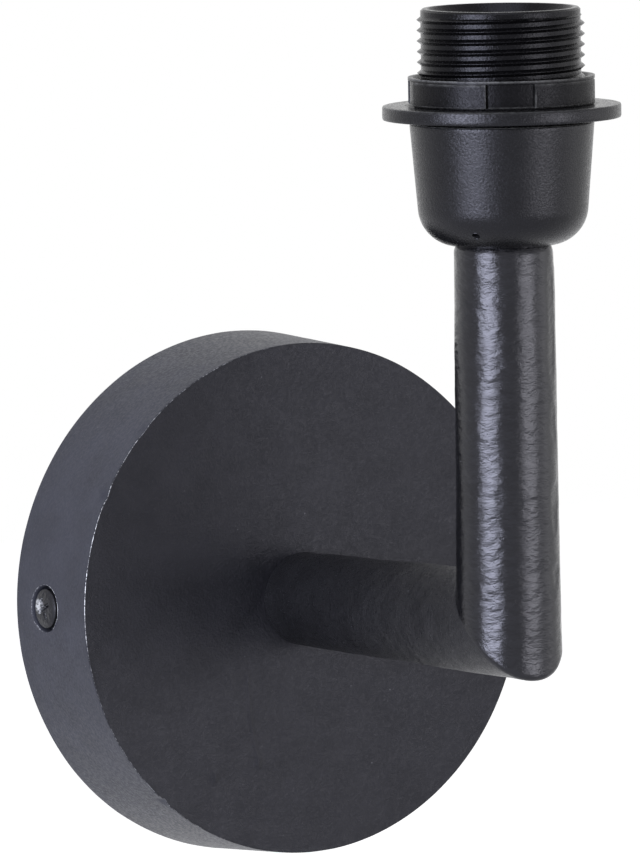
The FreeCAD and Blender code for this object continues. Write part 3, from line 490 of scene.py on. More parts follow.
RIM_DENTS = ((153.2, 0.35, 1.6), (-130.9, 0.5, 1.0), (136.0, 0.2, 2.2))  # degrees, depth, width
RUN_ACROSS, RUN_HEIGHT = [-13.6, -15.7, -16.3], [-38.7, -27.2, -16.4]  # the path of the run of paint
RUN_RISE, DROP_RISE = 0.2, 0.5
DROP_PLACES = ((-13.6, -38.9), (-25.7, -41.7))  # across, height


def canopy_radius(depth):
    return CANOPY_BACK - (CANOPY_BACK - CANOPY_FRONT) * depth / CANOPY_DEPTH


def rim_flaws(points):
    """Small dents and waviness of the hand-worked rim, as an inward shift."""
    shift = 0.05 * noise(points, 14.0, 3) + 0.02 * noise(points, 4.0, 4)
    near_face = smooth(CANOPY_DEPTH - 3.0, CANOPY_DEPTH, -points[..., 1])
    for degrees, dent, width in RIM_DENTS:
        x = CANOPY_FRONT * math.cos(math.radians(degrees))
        z = CANOPY_FRONT * math.sin(math.radians(degrees))
        away = np.hypot(points[..., 0] - x, points[..., 2] - z)
        shift = shift + dent * near_face * bell(away, width)
    return shift


def degrees_from(angle, middle):
    """Degrees between two angles, the short way round."""
    return np.abs((angle - middle + 180) % 360 - 180)


def edge_wear(points):
    """Where the coat is rubbed off the canopy's front edge, most at the left."""
    angle = np.degrees(np.arctan2(points[..., 2], points[..., 0]))
    left = 0.9 * np.exp(-(degrees_from(angle, 171) / 17.0) ** 4)
    upper = 0.50 * bell(degrees_from(angle, 138), 34.0)
    lower = 0.35 * bell(degrees_from(angle, -135), 25.0)
    return np.clip(0.18 + left + upper + lower, 0, 1)


def paint_runs(points):
    """Height of two dried runs of paint on the face: a thin line that ends in a drop, and one drop alone."""
    across, height = points[:, 0], points[:, 2]
    line = bell(across - np.interp(height, RUN_HEIGHT, RUN_ACROSS), 0.45) * smooth(-39.0, -38.0, height)
    raised = RUN_RISE * (line * (1 - smooth(-18.0, -16.0, height)))
    for x, z in DROP_PLACES:
        raised = raised + DROP_RISE * np.exp(-((across - x) / 0.75) ** 2 - ((height - z) / 1.1) ** 2)
    return raised


def canopy_wall(skin, depths, inset):
    """The wall's outer or inner skin, with a window left open round each side screw."""
    rows = []
    for depth in depths:
        radius = canopy_radius(depth) - inset
        inward = rim_flaws(wall_points(radius, ANGLES, depth)) if inset == 0 else 0.0
        rows.append(skin.row(wall_points(radius - inward, ANGLES, depth)))
    from_screw = np.arange(COLUMNS) % (COLUMNS // 2)
    from_screw = np.minimum(from_screw, COLUMNS // 2 - 1 - from_screw)
    skin.bands(rows, range(PATCH_LOW, PATCH_HIGH), from_screw >= PATCH_COLUMNS)
    return rows


def canopy_face(skin):
    """Rows over the worn front edge and the face, in to the centre hole."""
    rows = []
    for step in range(1, EDGE_ROWS + 1):
        turn = step / EDGE_ROWS * math.pi / 2
        radius = CANOPY_FRONT - EDGE * (1 - math.cos(turn))
        depth = CANOPY_DEPTH - EDGE + EDGE * math.sin(turn)
        points = wall_points(radius, ANGLES, depth)
        broken = 0.75 + 0.5 * noise(points, 0.8, 13)
        wear_and_sheen = edge_wear(points) * broken * math.sin(2 * turn) ** 3
        rows.append(skin.row(wall_points(radius - rim_flaws(points), ANGLES, depth), wear_and_sheen))
    for radius in np.concatenate([[60.6], np.linspace(60.1, 12.0, 90), [9.0, 7.0, NIPPLE_HOLE]]):
        points = wall_points(radius, ANGLES, CANOPY_DEPTH)
        sunk = 0.05 * noise(points, 16.0, 7) + 0.015 * noise(points, 3.5, 8)
        sunk = np.minimum(sunk - 0.05, 0.0)
        rows.append(skin.row(wall_points(radius, ANGLES, CANOPY_DEPTH + sunk + paint_runs(points))))
    return rows


class Recess:
    """Rings pressed into one skin of the canopy's wall, inwards from the window's border to the screw."""

    def __init__(self, skin, wall, inset, middle, side):
        self.skin, self.inset, self.side = skin, inset, side
        border = window_border(PATCH_LOW, PATCH_HIGH, middle - PATCH_COLUMNS, middle + PATCH_COLUMNS)
        self.last = np.array([wall[k][i] for k, i in border])
        across = np.array([canopy_radius(WALL_DEPTHS[k]) * math.sin(ANGLES[i]) for k, i in border])
        along = np.array([WALL_DEPTHS[k] for k, i in border]) - SCREW_DEPTH
        self.away = np.hypot(across, along)
        self.across, self.along = across / self.away, along / self.away

    def ring(self, x, height, depth, wear_and_sheen):
        made = self.skin.row(np.stack([x, -depth, height], axis=1), wear_and_sheen)
        self.skin.band(self.last, made)
        self.last = made

    def on_wall(self, reach, sink=0.0, wear_and_sheen=0.0, raised=0.0):
        """A ring that far from the screw's axis, on the wall's curve."""
        height, depth = self.across * reach, self.along * reach + SCREW_DEPTH
        radius = canopy_radius(depth) - self.inset + raised
        self.ring(self.side * (np.sqrt(radius ** 2 - height ** 2) - sink), height, depth, wear_and_sheen)

    def level(self, reach, floor):
        """A ring that far from the screw's axis, all at one distance from the arm's axis."""
        height, depth = self.across * reach, self.along * reach + SCREW_DEPTH
        self.ring(np.full(len(height), self.side * floor), height, depth, 0.0)

    def close_in(self, lip):
        """Rings from the window's square border to the lip's circle."""
        for share in (0.3, 0.6, 0.85, 1.0):
            self.on_wall(self.away + (lip - self.away) * share)


def press_recess(skin, outer, inner, middle, side):
    """A side screw's recess: the pocket with its torn, rubbed rim, the boss inside, and the hole."""
    pocket = Recess(skin, outer, 0.0, middle, side)
    pocket.close_in(POCKET_RADIUS + 0.45)
    across, along, rim = pocket.across, pocket.along, POCKET_RADIUS
    ragged = noise(np.stack([across * 6, along * 6, np.full(len(across), side)], axis=1), 0.9, 11)
    low = smooth(-0.2, 0.9, -across)
    front = smooth(0.35, 0.85, 0.85 * along + 0.4 * across)
    burr = np.clip(ragged, 0, 1) * (0.08 + 0.22 * low)
    rub_and_sheen = np.clip(0.34 + 0.66 * front + 0.5 * low * ragged, 0, 1)
    pocket.on_wall(rim + 0.26, raised=burr * 0.5)
    pocket.on_wall(rim + 0.16, raised=burr + 0.05, wear_and_sheen=rub_and_sheen)
    pocket.on_wall(rim + 0.04, sink=0.08, wear_and_sheen=rub_and_sheen * 0.8)
    pocket.on_wall(rim - 0.12, sink=0.35)
    pocket.on_wall(rim - 0.30, sink=1.0)
    pocket.level(rim - 0.36, POCKET_FLOOR + 0.4)
    for reach in (rim - 0.75, 4.2, POCKET_HOLE):
        pocket.level(reach, POCKET_FLOOR)
    boss = Recess(skin, inner, CANOPY_WALL, middle, side)
    boss.close_in(BOSS_RADIUS + 0.3)
    boss.on_wall(BOSS_RADIUS, sink=0.2)
    boss.level(BOSS_RADIUS, BOSS_TOP + 0.3)
    boss.level(BOSS_RADIUS - 0.3, BOSS_TOP)
    boss.level(POCKET_HOLE, BOSS_TOP)
    skin.band(pocket.last, boss.last)


def make_canopy():
    skin = Skin()
    outer_depths = np.concatenate([WALL_DEPTHS, [28.3, 28.7, CANOPY_DEPTH - EDGE]])
    outer = canopy_wall(skin, outer_depths, 0.0)
    inner = canopy_wall(skin, WALL_DEPTHS, CANOPY_WALL)
    front = canopy_face(skin)
    back_radii = np.linspace(10, canopy_radius(28) - CANOPY_WALL - 1.0, 30)
    back = [skin.row(wall_points(radius, ANGLES, CANOPY_DEPTH - CANOPY_WALL))
            for radius in np.concatenate([[NIPPLE_HOLE], back_radii])]
    skin.bands([outer[-1]] + front + back + [inner[-1]])
    skin.band(inner[0], outer[0])
    press_recess(skin, outer, inner, 0, 1.0)
    press_recess(skin, outer, inner, COLUMNS // 2, -1.0)
    obj = skin.piece("canopy_cup", sharp=40)
    fit_out(obj, "fixture", "black_canopy", CANOPY_COAT, "canopy")
    # The rim gets the lighter, bluer copy of the coat: painted light.
    second_finish(obj, LIT_RIM_COAT, lambda centre: centre.y > -(CANOPY_DEPTH - EDGE) * MM)


# -------- arm and upright
TUBE_ANGLES = all_round(288)
RUN_ROWS, CORNER_ROWS = 150, 9  # rows along each tube, and round the mitre
SNUG_ROWS = 3  # the arm's first rows, which never bulge
EASED_ROWS, EASED_BY = 3, 0.45  # the upright's top rows, and how far they close in


def tube_rows(inset, run_rows, corner_rows):
    """Rows of the tubes' surface: out along the arm, round the mitre and up the upright."""
    knee_radius = ELBOW - inset
    root = wall_points(ARM_ROOT - inset, TUBE_ANGLES, CANOPY_DEPTH)
    knee = upright_points(knee_radius, TUBE_ANGLES, knee_radius * np.sin(TUBE_ANGLES))
    head = upright_points(UPRIGHT_TOP - inset, TUBE_ANGLES, RISE)
    bend = (0.5 + 0.45 * (1 - np.sin(TUBE_ANGLES)))[:, None]
    back = (root - knee) / np.linalg.norm(root - knee, axis=1)[:, None]
    ahead = (head - knee) / np.linalg.norm(head - knee, axis=1)[:, None]
    first, last = knee + back * bend, knee + ahead * bend
    centre = knee + (back + ahead) * bend
    rows = [root + (first - root) * t for t in np.linspace(0, 1, run_rows)[:-1]]
    for t in np.linspace(0, 1, corner_rows):
        a = t * math.pi / 2
        rows.append(centre - ahead * bend * math.cos(a) - back * bend * math.sin(a))
    return rows + [last + (head - last) * t for t in np.linspace(0, 1, run_rows)[1:]]


def tube_flaws(row, up):
    """How far a row stands off its round: hand grinding, and hammer marks up the upright's outer right."""
    shift = 0.18 * noise(row, 16.0, 21) + 0.08 * noise(row, 6.0, 22)
    shift += 0.04 * noise(row * np.array([1.0, 1.0, 1.8]), 4.0, 25) + 0.012 * noise(row, 1.6, 23)
    shift = shift - 0.12
    right = smooth(0.25, 0.8, np.cos(TUBE_ANGLES)) * smooth(-30.0, -2.0, row[:, 2]) * up
    marks = noise(row * np.array([1.0, 1.0, 0.55]), 3.4, 24)
    return shift - right * 0.42 * np.clip(marks, 0, 1)


def make_arm():
    """Arm and upright in one."""
    skin = Skin()
    cos, sin, zero = np.cos(TUBE_ANGLES), np.sin(TUBE_ANGLES), np.zeros(len(TUBE_ANGLES))
    arm_outward, up_outward = np.stack([cos, zero, sin], axis=1), np.stack([cos, sin, zero], axis=1)
    rows = tube_rows(0.0, RUN_ROWS, CORNER_ROWS)
    outer = []
    for k, row in enumerate(rows):
        up = smooth(RUN_ROWS - 4, RUN_ROWS + 12, k)
        outward = arm_outward * (1 - up) + up_outward * up
        outward = outward / np.linalg.norm(outward, axis=1)[:, None]
        shift = tube_flaws(row, up)
        if k < SNUG_ROWS:
            shift = np.minimum(shift, 0.0)
        eased = k - (len(rows) - 1 - EASED_ROWS)
        if eased > 0:
            shift = shift - EASED_BY * eased ** 2 / EASED_ROWS ** 2
        outer.append(skin.row(row + outward * shift[:, None]))
    inner = [skin.row(row) for row in tube_rows(TUBE_WALL, 12, 5)]
    skin.bands(outer)
    skin.bands(inner)
    skin.band(outer[0], inner[0])
    skin.band(outer[-1], inner[-1])
    obj = skin.piece("arm_and_upright", sharp=50)
    fit_out(obj, "fixture", "black_tube", UPRIGHT_COAT, "arm_tube", "upright_tube")
    second_finish(obj, ARM_COAT, lambda centre: centre.z < centre.y + REACH * MM)


# -------- lampholder
DOME_COLUMNS = 360
VENT_ANGLE = math.atan2(-0.6, -0.8)  # the vent, low on the front left
VENT_RADIUS, VENT_HEIGHT = 17.6, 93.7  # its place on the dome
VENT_ROWS, VENT_COLUMNS = 3, 4  # half the window that is opened for it
VENT_RINGS = ((0.98, 0.02), (0.85, 0.20), (0.80, 2.4))  # radius and depth, from the rim to the end


def add_vent(skin, border, hub):
    """A small round hole that looks down at 45 degrees."""
    outward = np.array([math.cos(VENT_ANGLE), math.sin(VENT_ANGLE), -1.0]) / math.sqrt(2)
    points = np.concatenate(skin.rows)
    flat = points[border] - points[hub]
    flat = flat - (flat @ outward)[:, None] * outward
    unit = flat / np.linalg.norm(flat, axis=1)[:, None]
    rings = [skin.row(points[hub] + unit * radius - outward * depth) for radius, depth in VENT_RINGS]
    skin.bands([border] + rings)
    skin.lid(rings[-1], points[hub] - outward * VENT_RINGS[-1][1])


def make_dome():
    skin = Skin()
    outline = rounded([
        (NIPPLE_HOLE, RISE), (19.35, RISE, 9.3), (21.8, DOME_TOP - 0.3, 0.4), (19.25, DOME_TOP, 0.2),
        (19.25, 106.0), (17.8, 106.0), (17.5, 98.8), (16.48, 94.84), (12.79, 92.2), (NIPPLE_HOLE, 92.2),
    ], step=0.7)
    rows = []
    for radius, height in outline:
        # Painted highlight: a pale line along the dome's top outer edge.
        wear_and_sheen = 0.5 if radius > 21.3 and height > DOME_TOP - 0.45 else 0.0
        rows.append(skin.row(upright_points(radius, all_round(DOME_COLUMNS), height), wear_and_sheen))
    row = int(np.argmin(np.hypot(outline[:, 0] - VENT_RADIUS, outline[:, 1] - VENT_HEIGHT)))
    column = int(round((VENT_ANGLE % TAU) / TAU * DOME_COLUMNS))
    low, high = row - VENT_ROWS, row + VENT_ROWS
    left, right = column - VENT_COLUMNS, column + VENT_COLUMNS
    beside = (np.arange(DOME_COLUMNS) < left) | (np.arange(DOME_COLUMNS) >= right)
    skin.bands(rows + rows[:1], range(low, high), beside)
    border = np.array([rows[k][i] for k, i in window_border(low, high, left, right)])
    add_vent(skin, border, rows[row][column])
    obj = skin.piece("lampholder_cup", sharp=38)
    fit_out(obj, "fixture", "black_plastic", DOME_PLASTIC, "lampholder_dome")


THREAD_PITCH, THREAD_PHASE = 2.5, 119.868  # the phase is the height of a crest at angle 0
THREAD_ROOT, THREAD_DEPTH = 18.85, 0.9
THREAD_END = 9.74  # turns at which the outer thread runs out
THREAD_STEPS = (0.0, 0.020, 0.11, 0.20, 0.29, 0.308, 0.40, 0.60, 0.692, 0.71, 0.80, 0.89, 0.980)
SKIRT_SHOULDER, SKIRT_TOP = 119.6, 146.0
THREAD_TOP = SKIRT_TOP - 0.5
LAMP_RADIUS, LAMP_PITCH, LAMP_WAVE = 13.3, 3.629, 0.45  # the lamp's own rolled thread
LAMP_LOW, LAMP_HIGH = 121.0, 141.0


def thread_radius(angle, height, turns):
    """The skirt's outer thread: narrow pointed crests, wide flat roots, run out near the top."""
    along = turns - angle / TAU
    near = np.abs((along + 0.5) % 1.0 - 0.5) * THREAD_PITCH
    crest = np.clip(1 - (near - 0.05) / 0.72, 0, 1)
    fade = 1 - smooth(THREAD_END - 0.07, THREAD_END + 0.03, turns)
    return THREAD_ROOT + THREAD_DEPTH * crest * fade


def make_skirt():
    skin = Skin()
    angles = all_round(384)
    helix_rows(skin, upright_points, angles, SKIRT_SHOULDER, THREAD_TOP, THREAD_PITCH, THREAD_PHASE,
               THREAD_STEPS, thread_radius)
    shoulder = thread_radius(angles, SKIRT_SHOULDER, (SKIRT_SHOULDER - THREAD_PHASE) / THREAD_PITCH)
    lower = rounded([
        (19.2, SKIRT_SHOULDER), (19.2, 108.0, 0.2), (17.15, 108.0, 0.2), (17.15, 138.3), (15.2, 138.3),
        (15.2, 116.3), (12.0, 116.3, 0.3), (12.0, LAMP_LOW, 0.3), (LAMP_RADIUS, LAMP_LOW),
    ], step=2.0, closed=False)
    upper = rounded([
        (LAMP_RADIUS, LAMP_HIGH), (13.4, 141.2, 0.3), (17.1, 145.8, 0.3), (17.3, SKIRT_TOP, 0.12),
        (18.35, SKIRT_TOP, 0.3), (THREAD_ROOT, THREAD_TOP),
    ], step=0.8, closed=False)
    rings = [(shoulder, SKIRT_SHOULDER), *lower]
    for height in np.linspace(LAMP_LOW, LAMP_HIGH, 64)[1:-1]:
        wave = np.cos(TAU * (height / LAMP_PITCH - angles / TAU))
        fade = smooth(LAMP_LOW, 122.5, height) * (1 - smooth(138.6, 140.6, height))
        rings.append((LAMP_RADIUS - fade * LAMP_WAVE * (1 + wave), height))
    rings.extend(upper)
    skin.bands([skin.row(upright_points(radius, angles, height)) for radius, height in rings])
    obj = skin.piece("lampholder_threaded_skirt", sharp=32)
    fit_out(obj, "skirt", "black_plastic", SKIRT_PLASTIC, "lampholder_skirt")


# -------- shade ring
PANEL_START, PANEL_SPAN = 169.0, 59.5  # degrees: a raised grip panel in every quarter of the collar
SLOT_SPAN = 1.3  # degrees: the slot at each panel's end
STEP_BLUR = 0.12  # degrees either side of a step
PANEL_RADIUS, PLAIN_RADIUS, SLOT_DEPTH = 22.3, 21.5, 0.65
LAND_RADIUS = 22.02  # the collar above and below the panels
PANEL_FOOT, PANEL_HEAD = 123.50, 129.10  # heights where the panels start and stop
RING_BORE = 19.8
FLANGE_TOP = 123.22  # faces below it are the flange's


def ring_angles():
    """Columns a degree apart, with more of them beside each end of every panel and slot."""
    edges = [PANEL_START + 90 * quarter + end + beside
             for quarter in range(4)
             for end in (0.0, PANEL_SPAN, PANEL_SPAN + SLOT_SPAN)
             for beside in (-0.8, -0.45, -STEP_BLUR, STEP_BLUR, 0.45, 0.8)]
    degrees = np.concatenate([np.arange(0, 360, 1.0), np.array(edges) % 360])
    return np.radians(np.unique(np.round(degrees, 3)))


def past(place, along):
    """0 before a place round the quarter and 1 after it, in degrees."""
    return smooth(place - STEP_BLUR, place + STEP_BLUR, along)


def collar_radius(radius, height, on_panel, on_slot):
    """The outline's radius, changed on the collar's outside by the panels and slots."""
    if radius < 21.7 or radius > 22.3 or height < 123.3:
        return radius
    inside = smooth(PANEL_FOOT, PANEL_FOOT + 0.16, height) * (1 - smooth(PANEL_HEAD, 129.24, height))
    shape = PANEL_RADIUS * on_panel + PLAIN_RADIUS * (1 - on_panel) - SLOT_DEPTH * on_slot
    return shape * inside + LAND_RADIUS * (1 - inside)


def ring_edge_sheen(radius, height, angles, along, on_panel):
    """Painted highlight in pale lines along the ring's sharp edges: round each panel and along the rims."""
    if radius > 27.0:
        return 0.35 * bell(height - 123.0, 0.15)
    if height > 129.6:
        return 0.8 * bell(radius - 21.8, 0.25)
    if radius < 21.7 or height < PANEL_FOOT:
        return 0.0
    foot, head = bell(height - 123.72, 0.12), bell(height - 129.08, 0.12)
    ends = 0.35 * foot * on_panel + 0.45 * head * on_panel + 0.5 * foot * (1 - on_panel)
    tall = smooth(PANEL_FOOT, 123.7, height) * (1 - smooth(PANEL_HEAD, 129.3, height))
    starts = bell(along - 0.3, 0.35) * on_panel
    stops = bell(PANEL_SPAN - along - 0.3, 0.35) * on_panel
    uneven = 0.75 + 0.5 * noise(upright_points(22.0, angles, height), 1.5, 31)
    return np.clip(uneven * (ends + tall * (0.35 * stops + 0.55 * starts)), 0, 1)


def ring_outline():
    """The ring's cross-section: flange, collar, rim and bore."""
    outline = [(RING_BORE, 119.9), (27.65, 119.9), (28.0, 120.0), (28.13, 120.35)]
    outline += [(28.15, height) for height in np.linspace(120.8, 122.4, 4)]
    outline += [(28.13, 122.8), (28.0, 123.1), (27.65, 123.2)]
    outline += [(radius, 123.2) for radius in np.linspace(26.8, 22.8, 7)] + [(22.25, 123.25)]
    panel_foot = (123.40, 123.50, 123.56, 123.62, 123.68, 123.78, 123.95, 124.2, 124.6)
    panel = (125.4, 126.2, 127.0, 127.8, 128.5)
    panel_head = (129.0, 129.10, 129.14, 129.19, 129.24, 129.4, 129.7)
    outline += [(22.0, height) for height in panel_foot + panel + panel_head]
    outline += [(21.95, 129.85), (21.75, 129.95), (21.1, 129.95), (20.9, 129.88), (20.3, 129.2)]
    outline += [(RING_BORE, 128.6)]
    return outline + [(RING_BORE, height) for height in np.linspace(127.5, 121, 5)]


def make_shade_ring():
    skin = Skin()
    angles = ring_angles()
    along = (np.degrees(angles) - PANEL_START) % 90.0
    on_panel = np.maximum(past(0, along) * (1 - past(PANEL_SPAN, along)), past(90, along))
    on_slot = past(PANEL_SPAN, along) * (1 - past(PANEL_SPAN + SLOT_SPAN, along))
    rows = []
    for radius, height in ring_outline():
        shaped = collar_radius(radius, height, on_panel, on_slot)
        # Painted edge highlight for the ring.
        wear_and_sheen = ring_edge_sheen(radius, height, angles, along, on_panel)
        rows.append(skin.row(upright_points(shaped, angles, height), wear_and_sheen))
    skin.bands(rows + rows[:1])
    obj = skin.piece("shade_ring", sharp=30)
    fit_out(obj, "ring_collar", "black_plastic", RING_PLASTIC, "shade_ring_flange", "shade_ring_collar")
    second_finish(obj, DOME_PLASTIC, lambda centre: centre.z < FLANGE_TOP * MM)


# -------- side screws
HEAD_RADIUS, HEAD_HEIGHT, HEAD_SHOULDER = 4.7, 3.45, 2.7
CROSS_TURN, CROSS_DEPTH = math.radians(24.0), 1.7
SHANK_RADIUS, SHANK_PITCH, NECK_RADIUS = 2.5, 0.8, 2.45
SHANK_TIP, SHANK_TOP = -15.0, -0.2  # heights over the recess's floor
SHANK_STEPS = (0.0, 0.2, 0.42, 0.58, 0.8)


def head_height(radius):
    """The head's dome, over the recess's floor."""
    share = np.clip(radius / HEAD_RADIUS, 0, 1)
    return HEAD_SHOULDER + (HEAD_HEIGHT - HEAD_SHOULDER) * (1 - share ** 4.0) ** 0.6


def head_row(radius, angles, seed):
    """Height and wear round the head's top at one radius, with its cross recess."""
    y, z = radius * np.cos(angles - CROSS_TURN), radius * np.sin(angles - CROSS_TURN)
    arm, reach = np.minimum(np.abs(y), np.abs(z)), np.maximum(np.abs(y), np.abs(z))
    inside = (1 - smooth(0.40, 0.56, arm)) * (1 - smooth(2.3, 2.75, reach))
    depth = 1.75 * (1 - 0.22 * reach) * inside
    torn = 0.10 * noise(np.stack([y, z, np.full(len(y), seed)], axis=1), 0.8, 31 + seed)
    height = head_height(radius) - np.clip(depth, 0, CROSS_DEPTH) + torn * smooth(4.4, 3.6, radius)
    rub = smooth(0.35, 0.75, inside * 4 * (1 - inside)) * 0.7
    patch = np.exp(-((radius * np.cos(angles) - 2.3) ** 2 + (radius * np.sin(angles) + 0.6) ** 2) / 2.0)
    return height, np.clip(0.6 * rub + 1.3 * patch * (1 - inside), 0, 1)


def shank_radius(angle, height, turns):
    """The shank's thread, which runs out and narrows over the last millimetre or so."""
    near = np.abs((turns - angle / TAU + 0.5) % 1.0 - 0.5)
    run = smooth(SHANK_TIP, SHANK_TIP + 1.2, height)
    return SHANK_RADIUS - 0.45 + 0.43 * np.clip(1 - near / 0.42, 0, 1) * run - 0.35 * (1 - run)


def make_side_screw(end, side, seed):
    skin = Skin()
    angles = all_round(160)

    def place(radius, angle, height):
        """Points round the screw's axis, height counted outwards from the recess's floor."""
        radius, angle, height = np.broadcast_arrays(radius, side * np.asarray(angle), height)
        return np.stack([side * (POCKET_FLOOR + height), -SCREW_DEPTH + radius * np.cos(angle),
                         radius * np.sin(angle)], axis=-1)

    def shank_end(height):
        """The level row at an end of the thread."""
        return skin.row(place(shank_radius(angles, height, height / SHANK_PITCH), angles, height))

    rows = []
    for radius in np.concatenate([np.linspace(0.12, 4.5, 42), [4.58, 4.64, 4.69, HEAD_RADIUS]]):
        height, wear_and_sheen = head_row(radius, angles, seed)
        rows.append(skin.row(place(radius, angles, height), wear_and_sheen))
    skin.lid(rows[0], place(0.0, 0.0, head_height(0.0) - CROSS_DEPTH))
    rows += [skin.row(place(HEAD_RADIUS, angles, height)) for height in (2.1, 1.2, 0.25)]
    rows.append(skin.row(place(HEAD_RADIUS - 0.2, angles, 0.0)))
    helix_rows(skin, place, angles, SHANK_TIP, SHANK_TOP, SHANK_PITCH, 0.0, SHANK_STEPS, shank_radius)
    shank_top = shank_end(SHANK_TOP)
    neck = skin.row(place(NECK_RADIUS, angles, 0.0))
    skin.bands(rows + [neck, shank_top])
    skin.lid(shank_end(SHANK_TIP), place(0.0, 0.0, SHANK_TIP))
    obj = skin.piece("side_screw_head_" + end, sharp=40)
    fit_out(obj, end + "_screw", "dark_screw", SCREW_BLACK, "side_screw_" + end)


# -------- wires
WIRE_RADIUS, WIRE_SIDES = 1.05, 16
PORT = -20.9  # the terminal block's ports, from the wall
LANE = 1.3  # how far the live and neutral wires run off the tubes' axis


def route_points(points):
    """The smooth line of a route: an open spline with the route's points as its controls."""
    curve = bpy.data.curves.new("route", "CURVE")
    curve.dimensions = "3D"
    curve.resolution_u = 24
    spline = curve.splines.new("NURBS")
    spline.points.add(len(points) - 1)
    for point, place in zip(spline.points, points):
        point.co = (*place, 1.0)
    spline.order_u = 3
    spline.use_endpoint_u = True
    holder = in_scene("route", curve)
    bpy.context.view_layer.update()
    mesh = bpy.data.meshes.new_from_object(holder)
    line = np.array([v.co for v in mesh.vertices], float)
    bpy.data.objects.remove(holder)
    bpy.data.meshes.remove(mesh)
    bpy.data.curves.remove(curve)
    return line


def wire_piece(name, route):
    """A wire along a route, closed at both ends."""
    skin = Skin()
    line = route_points(route)
    ahead = np.gradient(line, axis=0)
    ahead /= np.linalg.norm(ahead, axis=1)[:, None]
    across = np.cross(ahead[0], [0.3, 0.5, 0.8])
    turn = all_round(WIRE_SIDES)[:, None]
    rows = []
    for here, direction in zip(line, ahead):
        across = across - (across @ direction) * direction
        across /= np.linalg.norm(across)
        other = np.cross(direction, across)
        rows.append(skin.row(here + WIRE_RADIUS * (np.cos(turn) * across + np.sin(turn) * other)))
    skin.bands(rows)
    skin.lid(rows[0], line[0])
    skin.lid(rows[-1], line[-1])
    return skin.piece(name, sharp=60)


def make_core_wire(label, slot, side, pole, finish):
    """The live or neutral wire: from its pole of the block, through the tubes, to its terminal."""
    lane, terminal = side * LANE, side * 9.0
    obj = wire_piece(label + "_run", [
        (pole, PORT, -31.0), (pole, PORT, -25.0), (pole, PORT, -19.0), (pole + lane, -14.0, -14.0),
        (pole / 2 + lane * 1.2, -8.5, -11.0), (lane * 1.2, -6.6, -4.5), (lane, -8.5, -0.4),
        (lane, -14.0, 0.0), (lane, -40.0, 0.0), (lane, -80.0, 0.0), (lane, -112.0, 0.0), (lane, -120.0, 1.5),
        (lane, -REACH, 10.0), (lane, -REACH, 50.0), (lane, -REACH, 92.0), (lane * 1.3, -REACH, 98.5),
        (terminal * 0.9, -REACH, 101.0), (terminal, -REACH, 104.5), (terminal, -REACH, 109.0),
    ])
    fit_out(obj, None, slot, finish, label)
    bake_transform(obj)


def make_earth_wire():
    """From the earth tag at the arm's root to the block's earth pole."""
    obj = wire_piece("earth_wire_run", [
        (14.0, -24.6, 0.0), (18.5, -24.6, 0.0), (23.5, -24.4, 0.0), (26.6, -23.0, -2.6), (24.5, -21.4, -10.0),
        (17.5, PORT, -15.6), (11.0, PORT, -17.4), (9.0, PORT, -22.0), (9.0, PORT, -26.5), (9.0, PORT, -31.0),
    ])
    fit_out(obj, "fixture", "earth_insulation", EARTH_RUBBER, "earth_wire")


make_canopy()
make_arm()
make_dome()
make_skirt()
make_shade_ring()
make_side_screw("left", -1.0, 1)
make_side_screw("right", 1.0, 5)
make_core_wire("live_wire", "live_insulation", -1, -9.0, LIVE_RUBBER)
make_core_wire("neutral_wire", "neutral_insulation", 1, 0.0, NEUTRAL_RUBBER)
make_earth_wire()


# -------- floor, background, light, in metres
WHITE, FLOOR_GREY = (1.0, 1.0, 1.0, 1.0), (0.55, 0.55, 0.55, 1.0)
WORLD_LIGHT, WORLD_SEEN, FLOOR_SEEN = 0.22, 1.0, 0.82
FLOOR_LEVEL, FLOOR_HALF = -0.150, 1.6
LIGHT_AIM = Vector((-0.02, -0.07, 0.04))
COOL_WHITE, WARM_WHITE = (0.86, 0.89, 1.0), (1.0, 0.99, 0.98)

CAMERA_VIEW, CAMERA_ROLL = (-31.368, 4.776), -0.878  # degrees
CAMERA_AIM, CAMERA_DISTANCE = Vector((-0.013477, -0.060, 0.043937)), 5.0
FOCAL_PIXELS, PHOTO_HEIGHT = 21033.54, 853
SENSOR = 36.0


def white_where_seen(tree, unseen, seen_as, target):
    """One strength to the camera and in reflections, and another to everything else."""
    path = tree.nodes.new("ShaderNodeLightPath")
    seen = path.outputs["Is Camera Ray"]
    for other in ("Is Glossy Ray", "Is Transmission Ray"):
        either = tree.nodes.new("ShaderNodeMath")
        either.operation = "MAXIMUM"
        tree.links.new(seen, either.inputs[0])
        tree.links.new(path.outputs[other], either.inputs[1])
        seen = either.outputs[0]
    spread = tree.nodes.new("ShaderNodeMapRange")
    spread.inputs["To Min"].default_value = unseen
    spread.inputs["To Max"].default_value = seen_as
    tree.links.new(seen, spread.inputs["Value"])
    tree.links.new(spread.outputs[0], target)


def make_world():
    world = bpy.data.worlds.new("studio")
    bpy.context.scene.world = world
    world.use_nodes = True
    background = world.node_tree.nodes["Background"]
    background.inputs["Color"].default_value = WHITE
    white_where_seen(world.node_tree, WORLD_LIGHT, WORLD_SEEN, background.inputs["Strength"])


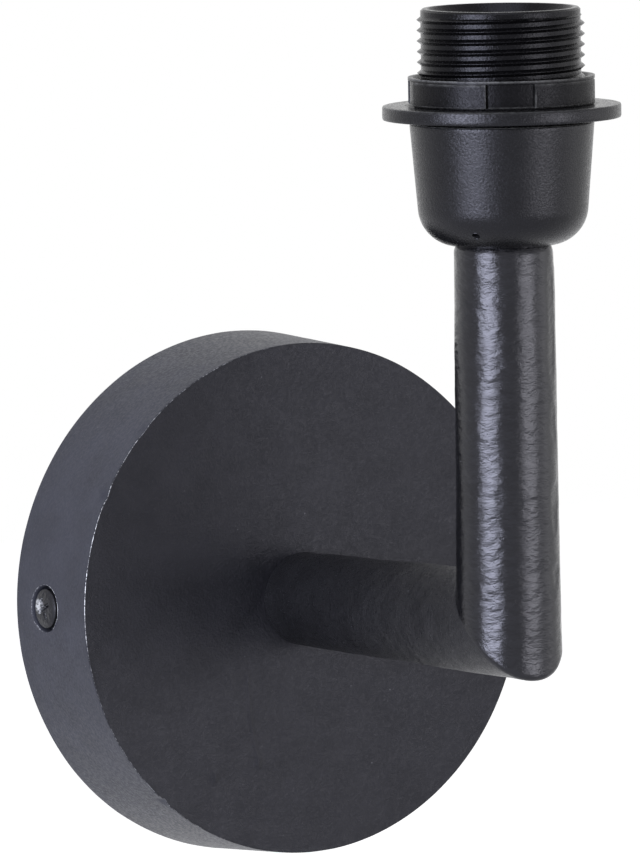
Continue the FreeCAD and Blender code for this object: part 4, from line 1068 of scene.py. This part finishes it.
def make_floor():
    mesh = bpy.data.meshes.new("floor")
    corners = ((-1, -1), (1, -1), (1, 1), (-1, 1))
    mesh.from_pydata([(x * FLOOR_HALF, y * FLOOR_HALF, FLOOR_LEVEL) for x, y in corners], [], [(0, 1, 2, 3)])
    floor = in_scene("floor", mesh)
    paper = Finish("floor_paper", Base_Color=FLOOR_GREY, Roughness=0.9, Emission_Color=WHITE)
    white_where_seen(paper.tree, 0.0, FLOOR_SEEN, paper.shader.inputs["Emission Strength"])
    mesh.materials.append(paper.material)


def towards(azimuth, elevation):
    """The direction from the object to a lamp or camera; 0 degrees is straight in front of the wall."""
    a, e = math.radians(azimuth), math.radians(elevation)
    return Vector((math.sin(a) * math.cos(e), -math.cos(a) * math.cos(e), math.sin(e)))


def area_light(name, azimuth, elevation, distance, width, height, watts, colour):
    data = bpy.data.lights.new(name, "AREA")
    data.shape = "RECTANGLE"
    data.size, data.size_y = width, height
    data.energy = watts
    data.color = colour
    lamp = in_scene(name, data)
    back = towards(azimuth, elevation)
    lamp.location = LIGHT_AIM + back * distance
    lamp.rotation_mode = "QUATERNION"
    lamp.rotation_quaternion = back.to_track_quat("Z", "Y")
    lamp.visible_camera = False


def make_camera():
    """The camera as it was fitted to the photograph."""
    back, roll = towards(*CAMERA_VIEW), math.radians(CAMERA_ROLL)
    right = (-back).cross(Vector((0, 0, 1))).normalized()
    up = right.cross(-back)
    turned_right = math.cos(roll) * right + math.sin(roll) * up
    turned_up = -math.sin(roll) * right + math.cos(roll) * up
    data = bpy.data.cameras.new("camera")
    data.sensor_fit = "AUTO"
    data.sensor_width = SENSOR
    data.lens = FOCAL_PIXELS * SENSOR / PHOTO_HEIGHT
    data.clip_start, data.clip_end = 0.5, 30.0
    camera = in_scene("camera", data)
    camera.location = CAMERA_AIM + back * CAMERA_DISTANCE
    camera.rotation_mode = "QUATERNION"
    camera.rotation_quaternion = Matrix((turned_right, turned_up, back)).transposed().to_quaternion()
    bpy.context.scene.camera = camera


make_world()
make_floor()
area_light("key_left", -68, 1, 1.5, 0.9, 0.9, 42.0, COOL_WHITE)
area_light("fill_front", 22, -7, 1.4, 0.8, 0.7, 11.5, WARM_WHITE)
area_light("fill_right", 62, -8, 1.4, 0.8, 1.0, 3.0, WARM_WHITE)
area_light("top", -40, 72, 1.3, 0.8, 0.8, 5.0, COOL_WHITE)
make_camera()
bpy.context.scene.view_settings.view_transform = "Standard"
